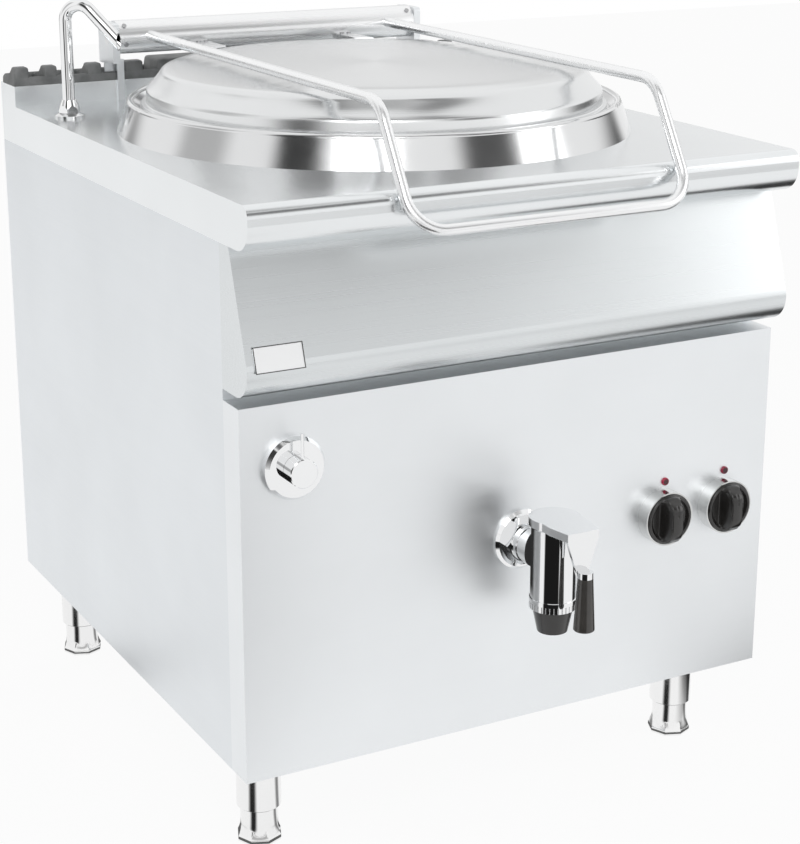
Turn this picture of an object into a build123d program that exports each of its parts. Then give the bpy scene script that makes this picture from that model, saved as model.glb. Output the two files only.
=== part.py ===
from build123d import *
import os
from math import cos, radians, sin, sqrt

# Steam jacketed kettle in a square stainless cabinet. Millimetres, +Z up, front faces -Y.
# Every piece is drawn in the cabinet's frame: X across from the middle, Y back from the
# worktop's front edge, Z up from the floor. write() then moves it to the part's own origin,
# which is on the floor in the middle of the part's outer size.

# ---------------------------------------------------------------- cabinet
WIDTH = 800.0
DEPTH = 900.0
WORKTOP_Z = 890.0
APRON_Z = 833.0
CABINET_Z = 143.0
WORKTOP_T = 2.0
PANEL_T = 1.5
PANEL_FLANGE = 15.0
NOSE_TOP_R = 15.0
NOSE_LOW_R = 33.0
NOSE_RETURN = 25.0
BODY_FRONT_Y = 83.7

FRONT_PANEL_Y = 38.0
FRONT_PANEL_TOP_Z = 638.0
FASCIA_TOP_Y = 56.7
FASCIA_FOOT_Y = -3.2
FASCIA_FOOT_Z = 652.4
FASCIA_LIP_R = 34.7
RAIL_T = 5.0
RAIL_H = 44.0
RAIL_OVERLAP = 12.0
BADGE_W = 65.0
BADGE_H = 32.0
BADGE_T = 1.2
BADGE_CORNER_R = 4.0
BADGE_INSET = 43.0
BADGE_ALONG = 53.5
TRAY_T = 2.0
TRAY_WALL = 25.0

UPSTAND_DEPTH = 65.0
UPSTAND_H = 30.0
FLUE_SLOT_W = 300.0
FLUE_SLOT_SIDE = 40.0
GRILLE_INSET = 2.0
GRILLE_RAIL_W = 6.0
GRILLE_RAIL_H = 12.0
GRILLE_FIN_H = 27.0
GRILLE_DRAFT = 3.0
GRILLE_END_W = 23.0
GRILLE_FIN_X = (342.0, 273.0, 209.5)
GRILLE_FIN_W = (22.0, 24.0, 31.0)
GRILLE_HOOD_W = 350.0
GRILLE_HOOD_T = 6.0

# ---------------------------------------------------------------- vessel
POT_R = 300.0
POT_T = 2.0
POT_DEPTH = 542.0
POT_CORNER_R = 30.0
COLLAR_R = 362.5
COLLAR_BACK = 24.9
COLLAR_TOP_R = 347.5
COLLAR_T = 2.5
COLLAR_SEAT = 8.0
LEDGE_R = 329.5
LEDGE_H = 32.0
ROLL_R = 5.0
ROLL_H = 38.0
JACKET_R = 342.0
JACKET_T = 3.0
JACKET_DROP = 122.0
WATER_SPACE = 92.0
JACKET_CORNER_R = 40.0
BLANKET_T = 12.0
BLANKET_RAISE = 44.0
BLANKET_DROP = 20.0
ELEMENT_R = 5.0
ELEMENT_REACH = 240.0
ELEMENT_HALF = 14.0
ELEMENT_START = 24.0
ELEMENT_RISE = 37.0
ELEMENT_COUNT = 3
ELEMENT_BEND_R = 12.0
HEATER_FLANGE_R = 60.0
HEATER_FLANGE_T = 10.0
HEATER_HOLE_R = 45.0
HEATER_STUD_R = 4.0
HEATER_STUD_L = 14.0
VALVE_DROP = 100.0
VALVE_STUB_R = 9.0
VALVE_STUB_L = 40.0
VALVE_BODY_R = 15.0
VALVE_BODY_L = 66.0
VALVE_STUB_T = 2.0
VALVE_CAP_FLATS = 26.0
VALVE_CAP_H = 8.0

# ---------------------------------------------------------------- lid and hinge
LID_R = 327.0
LID_BAND_R = 320.5
LID_BAND_Z = 947.0
LID_STEP_R = 301.0
LID_STEP_Z = 969.0
LID_TOP_R = 293.0
LID_TOP_Z = 975.0
LID_FLANGE_T = 5.0
LID_T = 2.0
LID_STRIP_HALF = 197.0
LID_STRIP_H = 4.5
LID_SKIN_Z = 926.0
LID_SKIN_T = 1.5
HINGE_BACK = 23.0
HINGE_Z = 987.3
HINGE_TUBE_R = 25.0
HINGE_TUBE_T = 2.5
HINGE_HALF = 250.0
SHAFT_R = 10.0
BUSH_L = 20.0
SPRING_WIRE_R = 2.5
SPRING_R = 16.2
SPRING_L = 80.0
SPRING_PITCH = 8.0
ANCHOR_R = 19.0
ANCHOR_L = 14.0
HANDLE_R = 7.5
HANDLE_T = 1.5
HANDLE_HALF = 200.5
HANDLE_Z = 990.0
HANDLE_KNEE_Y = 56.0
HANDLE_RAIL_Y = -33.0
HANDLE_RAIL_Z = 845.5
HANDLE_BEND_R = 45.0
STRAP_X = 121.5
STRAP_W = 27.0
STRAP_Z = 969.0
STRAP_T = 8.0
STRAP_SCREW_PITCH = 12.0
STRAP_SCREW_BACK = 34.0
SCREW_HEAD_R = 3.5
SCREW_HEAD_H = 2.0
SCREW_SHANK_R = 2.0
TUBE_SCREW_ANGLES = (45.0, -20.0)
TUBE_SCREW_INSET = 10.0
CHEEK_T = 11.0
CHEEK_FRONT = 25.0
CHEEK_W = 60.0
CHEEK_TOP_Z = 1010.0
CHEEK_CORNER_R = 6.0
SHELF_Z = 948.0
SHELF_T = 3.0
POST_X = 228.0
POST_W = 11.0
POST_T = 3.0
BACK_PLATE_W = 27.0
BACK_PLATE_GAP = 0.5

# ---------------------------------------------------------------- spout and water control
SPOUT_INSET = 40.0
SPOUT_BACK = 125.0
SPOUT_R = 9.0
SPOUT_T = 1.5
SPOUT_RISE = 138.0
SPOUT_BEND_R = 22.5
SPOUT_BEND_DEG = 135.0
SPOUT_TAIL = 61.0
SPOUT_HEADING = -45.0
SPOUT_INSERT = 20.0
SPOUT_FLANGE_R = 22.0
SPOUT_FLANGE_H = 7.0
SPOUT_NUT_FLATS = 27.0
SPOUT_NUT_H = 18.0
SPOUT_NUT_TOP_R = 10.5
WATER_INSET = 70.0
WATER_Z = 556.0
ROSETTE_R = 40.5
ROSETTE_T = 13.0
ROSETTE_RIM = 7.8
ROSETTE_BEVEL = 4.0
BARREL_R = 18.5
BARREL_L = 20.6
STEM_R = 6.0
PIN_R = 2.0
PIN_TOP_Z = 606.0
PIN_BACK = 5.0
MIXER_R = 24.0
MIXER_L = 46.0
MIXER_PORT_WALL = 2.0
MIXER_PORT_OUT = 4.0
MIXER_PORT_UP = 6.0
STEM_DEPTH = 27.6
PIPE_R = 7.5
PIPE_T = 1.0
PIPE_BEND_R = 20.0
PIPE_ELBOW_R = 9.0
PORT_STEP = 16.0
INLET_BACK = (160.0, 120.0)
INLET_SHOULDER_R = 14.0
INLET_R = 10.5
INLET_L = 16.0
INLET_NUT_R = 15.0
INLET_NUT_H = 8.0
FEED_Z = 815.0
FEED_STEP_Z = 612.0
FEED_BACK_Y = 115.0
FEED_CROSS_Y = 175.0

# ---------------------------------------------------------------- drain tap
TAP_PIPE_R = 25.0
TAP_BORE_R = 22.0
TAP_AXIS_OUT = 81.0
TAP_BODY_R = 30.0
TAP_BODY_DOWN = 52.0
TAP_BODY_UP = 46.0
TAP_WALL_R = 41.0
TAP_WALL_T = 7.0
TAP_NUT_FLATS = 56.0
TAP_NUT_T = 14.0
TAP_NUT_CONE = 8.0
TAP_RING_R = 31.0
TAP_RING_H = 14.0
TAP_RING_TEETH = 36
TAP_TOOTH_DEPTH = 0.8
TAP_NOZZLE_R = 27.0
TAP_NOZZLE_TIP_R = 20.0
TAP_NOZZLE_H = 33.0
TAP_NOZZLE_BORE_R = 15.0
TAP_WALL_BEVEL = 4.0
TAP_NUT_BEVEL = 2.0
TAP_TOOTH_L = 8.4
STRAINER_T = 2.0
STRAINER_PITCH = 7.3
STRAINER_HOLE_R = 2.4
STRAINER_REACH = 2
PLUG_R = 20.0
PLUG_BORE_R = 15.0
SPINDLE_R = 7.0
HOOD_R = 33.5
HOOD_UP = 57.5
HOOD_T = 3.5
HOOD_SKIRT = 7.0
HOOD_FRONT_OUT = 66.0
HOOD_FRONT_W = 46.0
HOOD_SHOULDER_W = 59.0
HOOD_SHOULDER_OUT = 35.0
TONGUE_T = 5.0
TONGUE_TIP_W = 14.0
GRIP_DROP = 1.0
GRIP_L = 71.0
GRIP_TOP_R = 10.0
GRIP_END_R = 13.8
GRIP_OUT = 73.0
GRIP_HOLE_R = 4.0

# ---------------------------------------------------------------- controls
KNOB_INSET = (174.5, 74.0)
KNOB_Z = 395.0
BEZEL_R = 38.0
BEZEL_T = 2.0
BEZEL_DEPTH = 21.0
KNOB_R = 35.5
KNOB_FACE = 24.0
KNOB_BLADE_W = 18.0
KNOB_BLADE_OUT = 43.0
KNOB_BLADE_LEN = 66.0
KNOB_BLADE_R = 3.0
KNOB_POCKET_R = 31.0
KNOB_POCKET = 5.0
KNOB_POINTER_W = 3.0
KNOB_SHAFT_R = 3.0
SWITCH_W = 44.0
SWITCH_DEPTH = 32.0
SWITCH_TAB_W = 22.0
SWITCH_TAB_H = 12.0
SWITCH_TAB_L = 6.0
LAMP_DX = 5.0
LAMP_DZ = 47.3
LAMP_R = 5.5
LAMP_BODY_R = 4.5
LAMP_OUT = 3.0
LAMP_BACK = 18.0
CONTACTOR = (90.0, 75.0, 85.0)
CONTACTOR_STEP = 18.75
CONTACTOR_STEP_Z = 51.0
CONTACTOR_INSET = 65.0
CONTACTOR_BACK = 24.0
GLAND_INSET = 150.0
GLAND_BACK = 140.0
GLAND_FLATS = 26.0
GLAND_BORE_R = 9.0
GLAND_DOWN = 18.0
GLAND_UP = 12.0

# ---------------------------------------------------------------- legs
LEG_INSET = 64.0
LEG_FRONT_Y = 146.0
LEG_REAR_INSET = 63.0
LEG_R = 30.0
LEG_T = 2.0
LEG_BOTTOM_Z = 50.0
LEG_NUT_H = 25.0
LEG_CAP_T = 6.0
STUD_R = 6.0
STUD_NUT_R = 10.0
STUD_NUT_H = 10.0
FOOT_R = 26.0
FOOT_BORE_R = 21.0
FOOT_TOP_Z = 100.0
FOOT_FLATS = 57.0
FOOT_SIDES = 8
FOOT_BASE_H = 8.0
FOOT_CONE_H = 14.0

# ---------------------------------------------------------------- clearances
RUNNING = 0.05      # radial, shaft in its bore
WELD = 0.05         # radial, pipe in the hole it is welded into
FREE = 0.3          # between pieces that move past each other
HOLE_GAP = 1.0      # radial, round something that only passes through

# ---------------------------------------------------------------- worked out from the above
HALF_W = WIDTH / 2
TRAY_Z = CABINET_Z + PANEL_T
UPSTAND_Y = DEPTH - UPSTAND_DEPTH
UPSTAND_Z = WORKTOP_Z + UPSTAND_H
BADGE_X = BADGE_INSET - HALF_W
HINGE_Y = UPSTAND_Y - HINGE_BACK
CHEEK_Y0 = HINGE_Y - CHEEK_FRONT
POT_Y = UPSTAND_Y - COLLAR_R - COLLAR_BACK
LEDGE_Z = WORKTOP_Z + LEDGE_H
POT_BOTTOM_Z = LEDGE_Z - POT_DEPTH
POT_OUT_R = POT_R + POT_T
JACKET_TOP_Z = LEDGE_Z - JACKET_DROP
JACKET_BOTTOM_Z = POT_BOTTOM_Z - POT_T - WATER_SPACE
BLANKET_Z0 = JACKET_BOTTOM_Z + BLANKET_RAISE
BLANKET_Z1 = JACKET_TOP_Z - BLANKET_DROP
VALVE_Z = JACKET_TOP_Z - VALVE_DROP
SPOUT_X = SPOUT_INSET - HALF_W
SPOUT_Y = UPSTAND_Y - SPOUT_BACK
WATER_X = WATER_INSET - HALF_W
PIPE_X = PANEL_FLANGE + HOLE_GAP + INLET_SHOULDER_R - HALF_W
INLET_Y = tuple(DEPTH - back for back in INLET_BACK)
TAP_Z = POT_BOTTOM_Z + TAP_BORE_R
TAP_BODY_Z0 = TAP_Z - TAP_BODY_DOWN
TAP_BODY_Z1 = TAP_Z + TAP_BODY_UP
HOOD_TOP_Z = TAP_Z + HOOD_UP
GRIP_TOP_Z = TAP_Z - GRIP_DROP
KNOB_X = tuple(HALF_W - inset for inset in KNOB_INSET)
CONTACTOR_X = HALF_W - CONTACTOR_INSET
CONTACTOR_Y = LEG_FRONT_Y + CONTACTOR_BACK
GLAND_X = HALF_W - GLAND_INSET
GLAND_Y = DEPTH - GLAND_BACK
TAP_Y = FRONT_PANEL_Y - TAP_AXIS_OUT
GRIP_Y = TAP_Y - GRIP_OUT
ROSETTE_Y = FRONT_PANEL_Y - ROSETTE_T
BARREL_Y = ROSETTE_Y - FREE - BARREL_L
SPOUT_FOOT_Z = WORKTOP_Z + SPOUT_FLANGE_H + SPOUT_NUT_H
FRONT_Y = GRIP_Y - GRIP_END_R
ORIGIN_Y = (FRONT_Y + DEPTH) / 2


def box(x0, x1, y0, y1, z0, z1):
    middle = Pos((x0 + x1) / 2, (y0 + y1) / 2, (z0 + z1) / 2)
    return middle * Box(x1 - x0, y1 - y0, z1 - z0)


def rod_z(radius, z0, z1, x=0.0, y=0.0):
    return Pos(x, y, (z0 + z1) / 2) * Cylinder(radius, z1 - z0)


def rod_y(radius, y0, y1, x=0.0, z=0.0):
    return Pos(x, (y0 + y1) / 2, z) * Rot(90, 0, 0) * Cylinder(radius, y1 - y0)


def rod_x(radius, x0, x1, y=0.0, z=0.0):
    return Pos((x0 + x1) / 2, y, z) * Rot(0, 90, 0) * Cylinder(radius, x1 - x0)


def tube_z(outer, inner, z0, z1, x=0.0, y=0.0):
    return rod_z(outer, z0, z1, x, y) - rod_z(inner, z0 - 1, z1 + 1, x, y)


def tube_y(outer, inner, y0, y1, x=0.0, z=0.0):
    return rod_y(outer, y0, y1, x, z) - rod_y(inner, y0 - 1, y1 + 1, x, z)


def tube_x(outer, inner, x0, x1, y=0.0, z=0.0):
    return rod_x(outer, x0, x1, y, z) - rod_x(inner, x0 - 1, x1 + 1, y, z)


def cone_z(r0, r1, z0, z1, x=0.0, y=0.0):
    """Cone of radius r0 at z0 and r1 at z1."""
    return Pos(x, y, (z0 + z1) / 2) * Cone(r0, r1, z1 - z0)


def cone_y(r0, r1, y0, y1, x=0.0, z=0.0):
    """Cone of radius r0 at y0 and r1 at y1."""
    return Pos(x, (y0 + y1) / 2, z) * Rot(-90, 0, 0) * Cone(r0, r1, y1 - y0)


def turned(points, y=0.0):
    """Ring from (radius, height) points, turned about the vertical line at y."""
    outline = make_face(Plane.XZ * Polyline(*points, close=True))
    return Pos(0, y, 0) * revolve(outline, Axis.Z, 360)


def across(points, x0, x1):
    """Prism along X from (y, z) points."""
    outline = make_face(Plane.YZ * Polyline(*points, close=True))
    return Pos(x0, 0, 0) * extrude(outline, x1 - x0, dir=(1, 0, 0))


def pipe(points, radius, wall, bend):
    """Round tube along straight runs joined by arcs of the same radius."""
    route = FilletPolyline(*points, radius=bend)
    start = Plane(route @ 0, z_dir=route % 0)
    skin = sweep(start * Circle(radius), path=route)
    bore = sweep(start * Circle(radius - wall), path=route)
    return skin - bore


def hexagon_z(flats, z0, z1, x=0.0, y=0.0):
    return Pos(x, y, z0) * extrude(RegularPolygon(flats / 2, 6, major_radius=False), z1 - z0)


def hexagon_y(flats, y0, y1, x=0.0, z=0.0):
    prism = extrude(RegularPolygon(flats / 2, 6, major_radius=False), y1 - y0)
    return Pos(x, y1, z) * Rot(90, 0, 0) * prism


def leg_places():
    """Name and centre of each leg."""
    x = HALF_W - LEG_INSET
    rear = DEPTH - LEG_REAR_INSET
    return {
        "front_left": (-x, LEG_FRONT_Y),
        "front_right": (x, LEG_FRONT_Y),
        "rear_left": (-x, rear),
        "rear_right": (x, rear),
    }


# ---------------------------------------------------------------- cabinet pieces
def nose_section(inset):
    """Side view of the worktop, all faces moved in by inset."""
    top = WORKTOP_Z - inset
    low = APRON_Z + inset
    back = DEPTH - inset
    upper_z = WORKTOP_Z - NOSE_TOP_R
    lower_z = APRON_Z + NOSE_LOW_R
    diagonal = sin(radians(45))
    upper_r = NOSE_TOP_R - inset
    lower_r = NOSE_LOW_R - inset
    upper_mid = (NOSE_TOP_R - upper_r * diagonal, upper_z + upper_r * diagonal)
    lower_mid = (NOSE_LOW_R - lower_r * diagonal, lower_z - lower_r * diagonal)
    outline = Polyline((NOSE_LOW_R, low), (back, low), (back, top), (NOSE_TOP_R, top))
    outline += ThreePointArc((NOSE_TOP_R, top), upper_mid, (inset, upper_z))
    outline += Line((inset, upper_z), (inset, lower_z))
    outline += ThreePointArc((inset, lower_z), lower_mid, (NOSE_LOW_R, low))
    return make_face(Plane.YZ * outline)


def worktop():
    inner_half = HALF_W - WORKTOP_T
    solid = extrude(nose_section(0), HALF_W, both=True)
    hollow = extrude(nose_section(WORKTOP_T), inner_half, both=True)
    open_y = NOSE_LOW_R + NOSE_RETURN
    hollow += box(-inner_half, inner_half, open_y, DEPTH - WORKTOP_T, APRON_Z - 1, WORKTOP_Z - WORKTOP_T)
    pot_hole = rod_z(COLLAR_R - COLLAR_SEAT, APRON_Z, WORKTOP_Z + 1, 0, POT_Y)
    spout_hole = rod_z(SPOUT_R + HOLE_GAP, APRON_Z, WORKTOP_Z + 1, SPOUT_X, SPOUT_Y)
    return solid - hollow - pot_hole - spout_hole - flue_slots(WORKTOP_Z - WORKTOP_T - 1, WORKTOP_Z + 1)


def flue_slots(z0, z1):
    """Vent opening behind the hinge, through the worktop and the upstand."""
    half = FLUE_SLOT_W / 2
    middle = (UPSTAND_Y + DEPTH) / 2
    return box(-half, half, middle - FLUE_SLOT_SIDE / 2, middle + FLUE_SLOT_SIDE / 2, z0, z1)


def rear_upstand():
    shell = box(-HALF_W, HALF_W, UPSTAND_Y, DEPTH, WORKTOP_Z, UPSTAND_Z)
    inside = HALF_W - PANEL_T
    shell -= box(-inside, inside, UPSTAND_Y + PANEL_T, DEPTH - PANEL_T, WORKTOP_Z - 1, UPSTAND_Z - PANEL_T)
    return shell - flue_slots(UPSTAND_Z - PANEL_T - 1, UPSTAND_Z + 1)


def fin(x, width, y0, y1):
    """Cast fin, narrower at the top."""
    foot = width / 2
    crown = foot - GRILLE_DRAFT
    top = UPSTAND_Z + GRILLE_FIN_H
    points = ((x - foot, UPSTAND_Z), (x + foot, UPSTAND_Z), (x + crown, top), (x - crown, top))
    outline = make_face(Plane.XZ * Polyline(*points, close=True))
    return Pos(0, y0, 0) * extrude(outline, y1 - y0, dir=(0, 1, 0))


def flue_grille():
    y0 = UPSTAND_Y + GRILLE_INSET
    y1 = DEPTH - GRILLE_INSET
    half = HALF_W - GRILLE_INSET
    rail_top = UPSTAND_Z + GRILLE_RAIL_H
    cast = box(-half, half, y0, y0 + GRILLE_RAIL_W, UPSTAND_Z, rail_top)
    cast += box(-half, half, y1 - GRILLE_RAIL_W, y1, UPSTAND_Z, rail_top)
    for x, width in zip(GRILLE_FIN_X, GRILLE_FIN_W):
        cast += fin(-x, width, y0, y1)
        cast += fin(x, width, y0, y1)
    end_x = half - GRILLE_END_W / 2
    cast += fin(-end_x, GRILLE_END_W, y0, y1)
    cast += fin(end_x, GRILLE_END_W, y0, y1)
    hood_top = UPSTAND_Z + GRILLE_FIN_H - GRILLE_HOOD_T
    room = GRILLE_HOOD_W / 2 - GRILLE_DRAFT - GRILLE_HOOD_T
    hood = fin(0, GRILLE_HOOD_W, y0, y1)
    hood -= box(-room, room, y0 + GRILLE_RAIL_W, y1 - GRILLE_RAIL_W, UPSTAND_Z - 1, hood_top)
    return cast + hood


def side_panel(side):
    """Sheet with its four edges turned inwards; side is -1 at the left and 1 at the right."""
    outer = side * HALF_W
    inner = side * (HALF_W - PANEL_FLANGE)
    x0, x1 = sorted((outer, inner))
    tray = box(x0, x1, BODY_FRONT_Y, DEPTH, CABINET_Z, APRON_Z)
    skin = side * (HALF_W - PANEL_T)
    cut_x0, cut_x1 = sorted((skin, inner - side))
    y0 = BODY_FRONT_Y + PANEL_T
    return tray - box(cut_x0, cut_x1, y0, DEPTH - PANEL_T, CABINET_Z + PANEL_T, APRON_Z - PANEL_T)


def rear_panel():
    half = HALF_W - PANEL_T
    y1 = DEPTH - PANEL_T
    return box(-half, half, y1 - PANEL_T, y1, CABINET_Z + PANEL_T, APRON_Z - PANEL_T)


def front_panel():
    half = HALF_W
    tray = box(-half, half, FRONT_PANEL_Y, BODY_FRONT_Y, CABINET_Z, FRONT_PANEL_TOP_Z)
    inside = half - PANEL_T
    tray -= box(-inside, inside, FRONT_PANEL_Y + PANEL_T, BODY_FRONT_Y + 1,
                CABINET_Z + PANEL_T, FRONT_PANEL_TOP_Z - PANEL_T)
    y0 = FRONT_PANEL_Y - 1
    y1 = FRONT_PANEL_Y + PANEL_T + 1
    tray -= rod_y(TAP_PIPE_R + HOLE_GAP, y0, y1, 0, TAP_Z)
    tray -= rod_y(STEM_R + HOLE_GAP, y0, y1, WATER_X, WATER_Z)
    for x in KNOB_X:
        tray -= rod_y(KNOB_SHAFT_R + HOLE_GAP, y0, y1, x, KNOB_Z)
        tray -= rod_y(LAMP_BODY_R + WELD, y0, y1, x + LAMP_DX, KNOB_Z + LAMP_DZ)
    return tray


def fascia_section(inset):
    """Side view of the control fascia, its front and foot moved in by inset."""
    foot = (FASCIA_FOOT_Y, FASCIA_FOOT_Z)
    points = ((FASCIA_TOP_Y, APRON_Z), foot, (BODY_FRONT_Y, FASCIA_FOOT_Z), (BODY_FRONT_Y, APRON_Z))
    outline = make_face(Polyline(*points, close=True))
    corner = outline.vertices().sort_by(Axis.X)[0]
    outline = fillet(corner, FASCIA_LIP_R)
    if inset > 0:
        outline = offset(outline, -inset, kind=Kind.INTERSECTION)
    return Plane.YZ * outline


def control_fascia():
    shell = extrude(fascia_section(0), HALF_W, both=True)
    inside = HALF_W - PANEL_T
    shell -= extrude(fascia_section(PANEL_T), inside, both=True)
    back = BODY_FRONT_Y - PANEL_T - 1
    return shell - box(-inside, inside, back, BODY_FRONT_Y + 1, FASCIA_FOOT_Z + PANEL_T, APRON_Z - PANEL_T)


def badge_plate():
    """Bare plate flat on the sloping face of the fascia."""
    rise = APRON_Z - FASCIA_FOOT_Z
    run = FASCIA_TOP_Y - FASCIA_FOOT_Y
    length = sqrt(rise ** 2 + run ** 2)
    centre_y = FASCIA_FOOT_Y + BADGE_ALONG * run / length
    centre_z = FASCIA_FOOT_Z + BADGE_ALONG * rise / length
    face = Plane((BADGE_X, centre_y, centre_z), x_dir=(1, 0, 0), z_dir=(0, -rise, run))
    return extrude(face * RectangleRounded(BADGE_W, BADGE_H, BADGE_CORNER_R), BADGE_T)


def front_rail():
    """Cross rail seen through the gap between the fascia and the front panel."""
    half = HALF_W - PANEL_FLANGE
    z0 = FRONT_PANEL_TOP_Z - RAIL_OVERLAP
    return box(-half, half, BODY_FRONT_Y, BODY_FRONT_Y + RAIL_T, z0, z0 + RAIL_H)


def base_tray():
    half = HALF_W - PANEL_T
    y0 = BODY_FRONT_Y + PANEL_T
    y1 = DEPTH - 2 * PANEL_T
    tray = box(-half, half, y0, y1, TRAY_Z, TRAY_Z + TRAY_WALL)
    inside = half - TRAY_T
    tray -= box(-inside, inside, y0 + TRAY_T, y1 - TRAY_T, TRAY_Z + TRAY_T, TRAY_Z + TRAY_WALL + 1)
    z0 = TRAY_Z - 1
    z1 = TRAY_Z + TRAY_T + 1
    for x, y in leg_places().values():
        tray -= rod_z(STUD_R + WELD, z0, z1, x, y)
    for y in INLET_Y:
        tray -= rod_z(INLET_R + WELD, z0, z1, PIPE_X, y)
    return tray - rod_z(GLAND_BORE_R + HOLE_GAP, z0, z1, GLAND_X, GLAND_Y)


# ---------------------------------------------------------------- vessel pieces
def collar():
    """Sloping ring on the worktop, rolled at its top, with the ledge that carries the lid."""
    roll_z = WORKTOP_Z + ROLL_H
    inner_lip = COLLAR_TOP_R - 2 * ROLL_R
    points = (
        (COLLAR_R, WORKTOP_Z),
        (COLLAR_TOP_R, roll_z),
        (inner_lip, roll_z),
        (LEDGE_R, LEDGE_Z),
        (POT_R, LEDGE_Z),
        (POT_R, LEDGE_Z - COLLAR_T),
        (LEDGE_R + COLLAR_T / 2, LEDGE_Z - COLLAR_T),
        (inner_lip + COLLAR_T / 2, roll_z - COLLAR_T),
        (COLLAR_TOP_R - COLLAR_T, roll_z - COLLAR_T),
        (COLLAR_R - COLLAR_T, WORKTOP_Z),
    )
    roll = Pos(0, POT_Y, roll_z) * Torus(COLLAR_TOP_R - ROLL_R, ROLL_R)
    return turned(points, POT_Y) + roll


def inner_vessel():
    top = LEDGE_Z - COLLAR_T
    outside = rod_z(POT_OUT_R, POT_BOTTOM_Z - POT_T, top, 0, POT_Y)
    outside = fillet(outside.edges().sort_by(Axis.Z)[0], POT_CORNER_R + POT_T)
    inside = rod_z(POT_R, POT_BOTTOM_Z, top + POT_CORNER_R + 1, 0, POT_Y)
    inside = fillet(inside.edges().sort_by(Axis.Z)[0], POT_CORNER_R)
    drain = rod_y(TAP_BORE_R, POT_Y - POT_OUT_R - 1, POT_Y - POT_R / 2, 0, TAP_Z)
    return outside - inside - drain


def jacket_shell():
    """Outer wall of the steam jacket, closed to the vessel by a ring at its top."""
    top = JACKET_TOP_Z
    outside = rod_z(JACKET_R, JACKET_BOTTOM_Z, top, 0, POT_Y)
    outside = fillet(outside.edges().sort_by(Axis.Z)[0], JACKET_CORNER_R)
    inside = rod_z(JACKET_R - JACKET_T, JACKET_BOTTOM_Z + JACKET_T, top - JACKET_T, 0, POT_Y)
    inside = fillet(inside.edges().sort_by(Axis.Z)[0], JACKET_CORNER_R - JACKET_T)
    shell = outside - inside
    shell -= rod_z(POT_OUT_R + WELD, top - JACKET_T - 1, top + 1, 0, POT_Y)
    shell -= rod_z(HEATER_HOLE_R, JACKET_BOTTOM_Z - 1, JACKET_BOTTOM_Z + JACKET_T + 1, 0, POT_Y)
    shell -= rod_y(TAP_PIPE_R + WELD, POT_Y - JACKET_R - 1, POT_Y - JACKET_R / 2, 0, TAP_Z)
    return shell - rod_y(VALVE_STUB_R - VALVE_STUB_T, POT_Y + JACKET_R / 2, POT_Y + JACKET_R + 1, 0, VALVE_Z)


def insulation_blanket():
    inner = JACKET_R + FREE
    ring = tube_z(inner + BLANKET_T, inner, BLANKET_Z0, BLANKET_Z1, 0, POT_Y)
    reach = POT_Y + inner + BLANKET_T + 1
    ring -= rod_y(VALVE_STUB_R + HOLE_GAP, POT_Y + JACKET_R / 2, reach, 0, VALVE_Z)
    return ring - rod_y(TAP_PIPE_R + HOLE_GAP, BODY_FRONT_Y, POT_Y - JACKET_R / 2, 0, TAP_Z)


def heating_elements():
    """Hairpin elements under the vessel, on one flange bolted below the jacket."""
    face_z = JACKET_BOTTOM_Z
    group = rod_z(HEATER_FLANGE_R, face_z - HEATER_FLANGE_T, face_z)
    run_z = face_z + ELEMENT_RISE
    near = ELEMENT_START
    far = ELEMENT_REACH
    half = ELEMENT_HALF
    hairpin_points = (
        (near, -half, face_z - HEATER_FLANGE_T / 2),
        (near, -half, run_z),
        (far, -half, run_z),
        (far, half, run_z),
        (near, half, run_z),
        (near, half, face_z - HEATER_FLANGE_T / 2),
    )
    route = FilletPolyline(*hairpin_points, radius=ELEMENT_BEND_R)
    hairpin = sweep(Plane(route @ 0, z_dir=route % 0) * Circle(ELEMENT_R), path=route)
    stud_z = face_z - HEATER_FLANGE_T
    for index in range(ELEMENT_COUNT):
        turn = Rot(0, 0, 90 + index * 360 / ELEMENT_COUNT)
        group += turn * hairpin
        for side in (-half, half):
            group += turn * rod_z(HEATER_STUD_R, stud_z - HEATER_STUD_L, stud_z, near, side)
    return Pos(0, POT_Y, 0) * group


def drain_pipe():
    """Pipe from the vessel's wall, through the jacket, to the tap."""
    bar = tube_y(TAP_PIPE_R, TAP_BORE_R, FRONT_PANEL_Y - TAP_WALL_T, POT_Y - POT_R / 2, 0, TAP_Z)
    return bar - rod_z(POT_OUT_R, TAP_Z - TAP_PIPE_R - 1, LEDGE_Z, 0, POT_Y)


def drain_strainer():
    """Perforated disc in the mouth of the drain, on a short sleeve."""
    sleeve_r = TAP_BORE_R - RUNNING
    inside_r = sleeve_r - STRAINER_T
    mouth_y = POT_Y - POT_R
    back_y = mouth_y - STRAINER_T
    disc = rod_y(inside_r, back_y, mouth_y, 0, TAP_Z)
    steps = range(-STRAINER_REACH, STRAINER_REACH + 1)
    for column in steps:
        for row in steps:
            if column ** 2 + row ** 2 <= STRAINER_REACH ** 2:
                z = TAP_Z + row * STRAINER_PITCH
                disc -= rod_y(STRAINER_HOLE_R, back_y - 1, mouth_y + 1, column * STRAINER_PITCH, z)
    return disc + tube_y(sleeve_r, inside_r, mouth_y - TAP_BORE_R, mouth_y, 0, TAP_Z)


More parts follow.
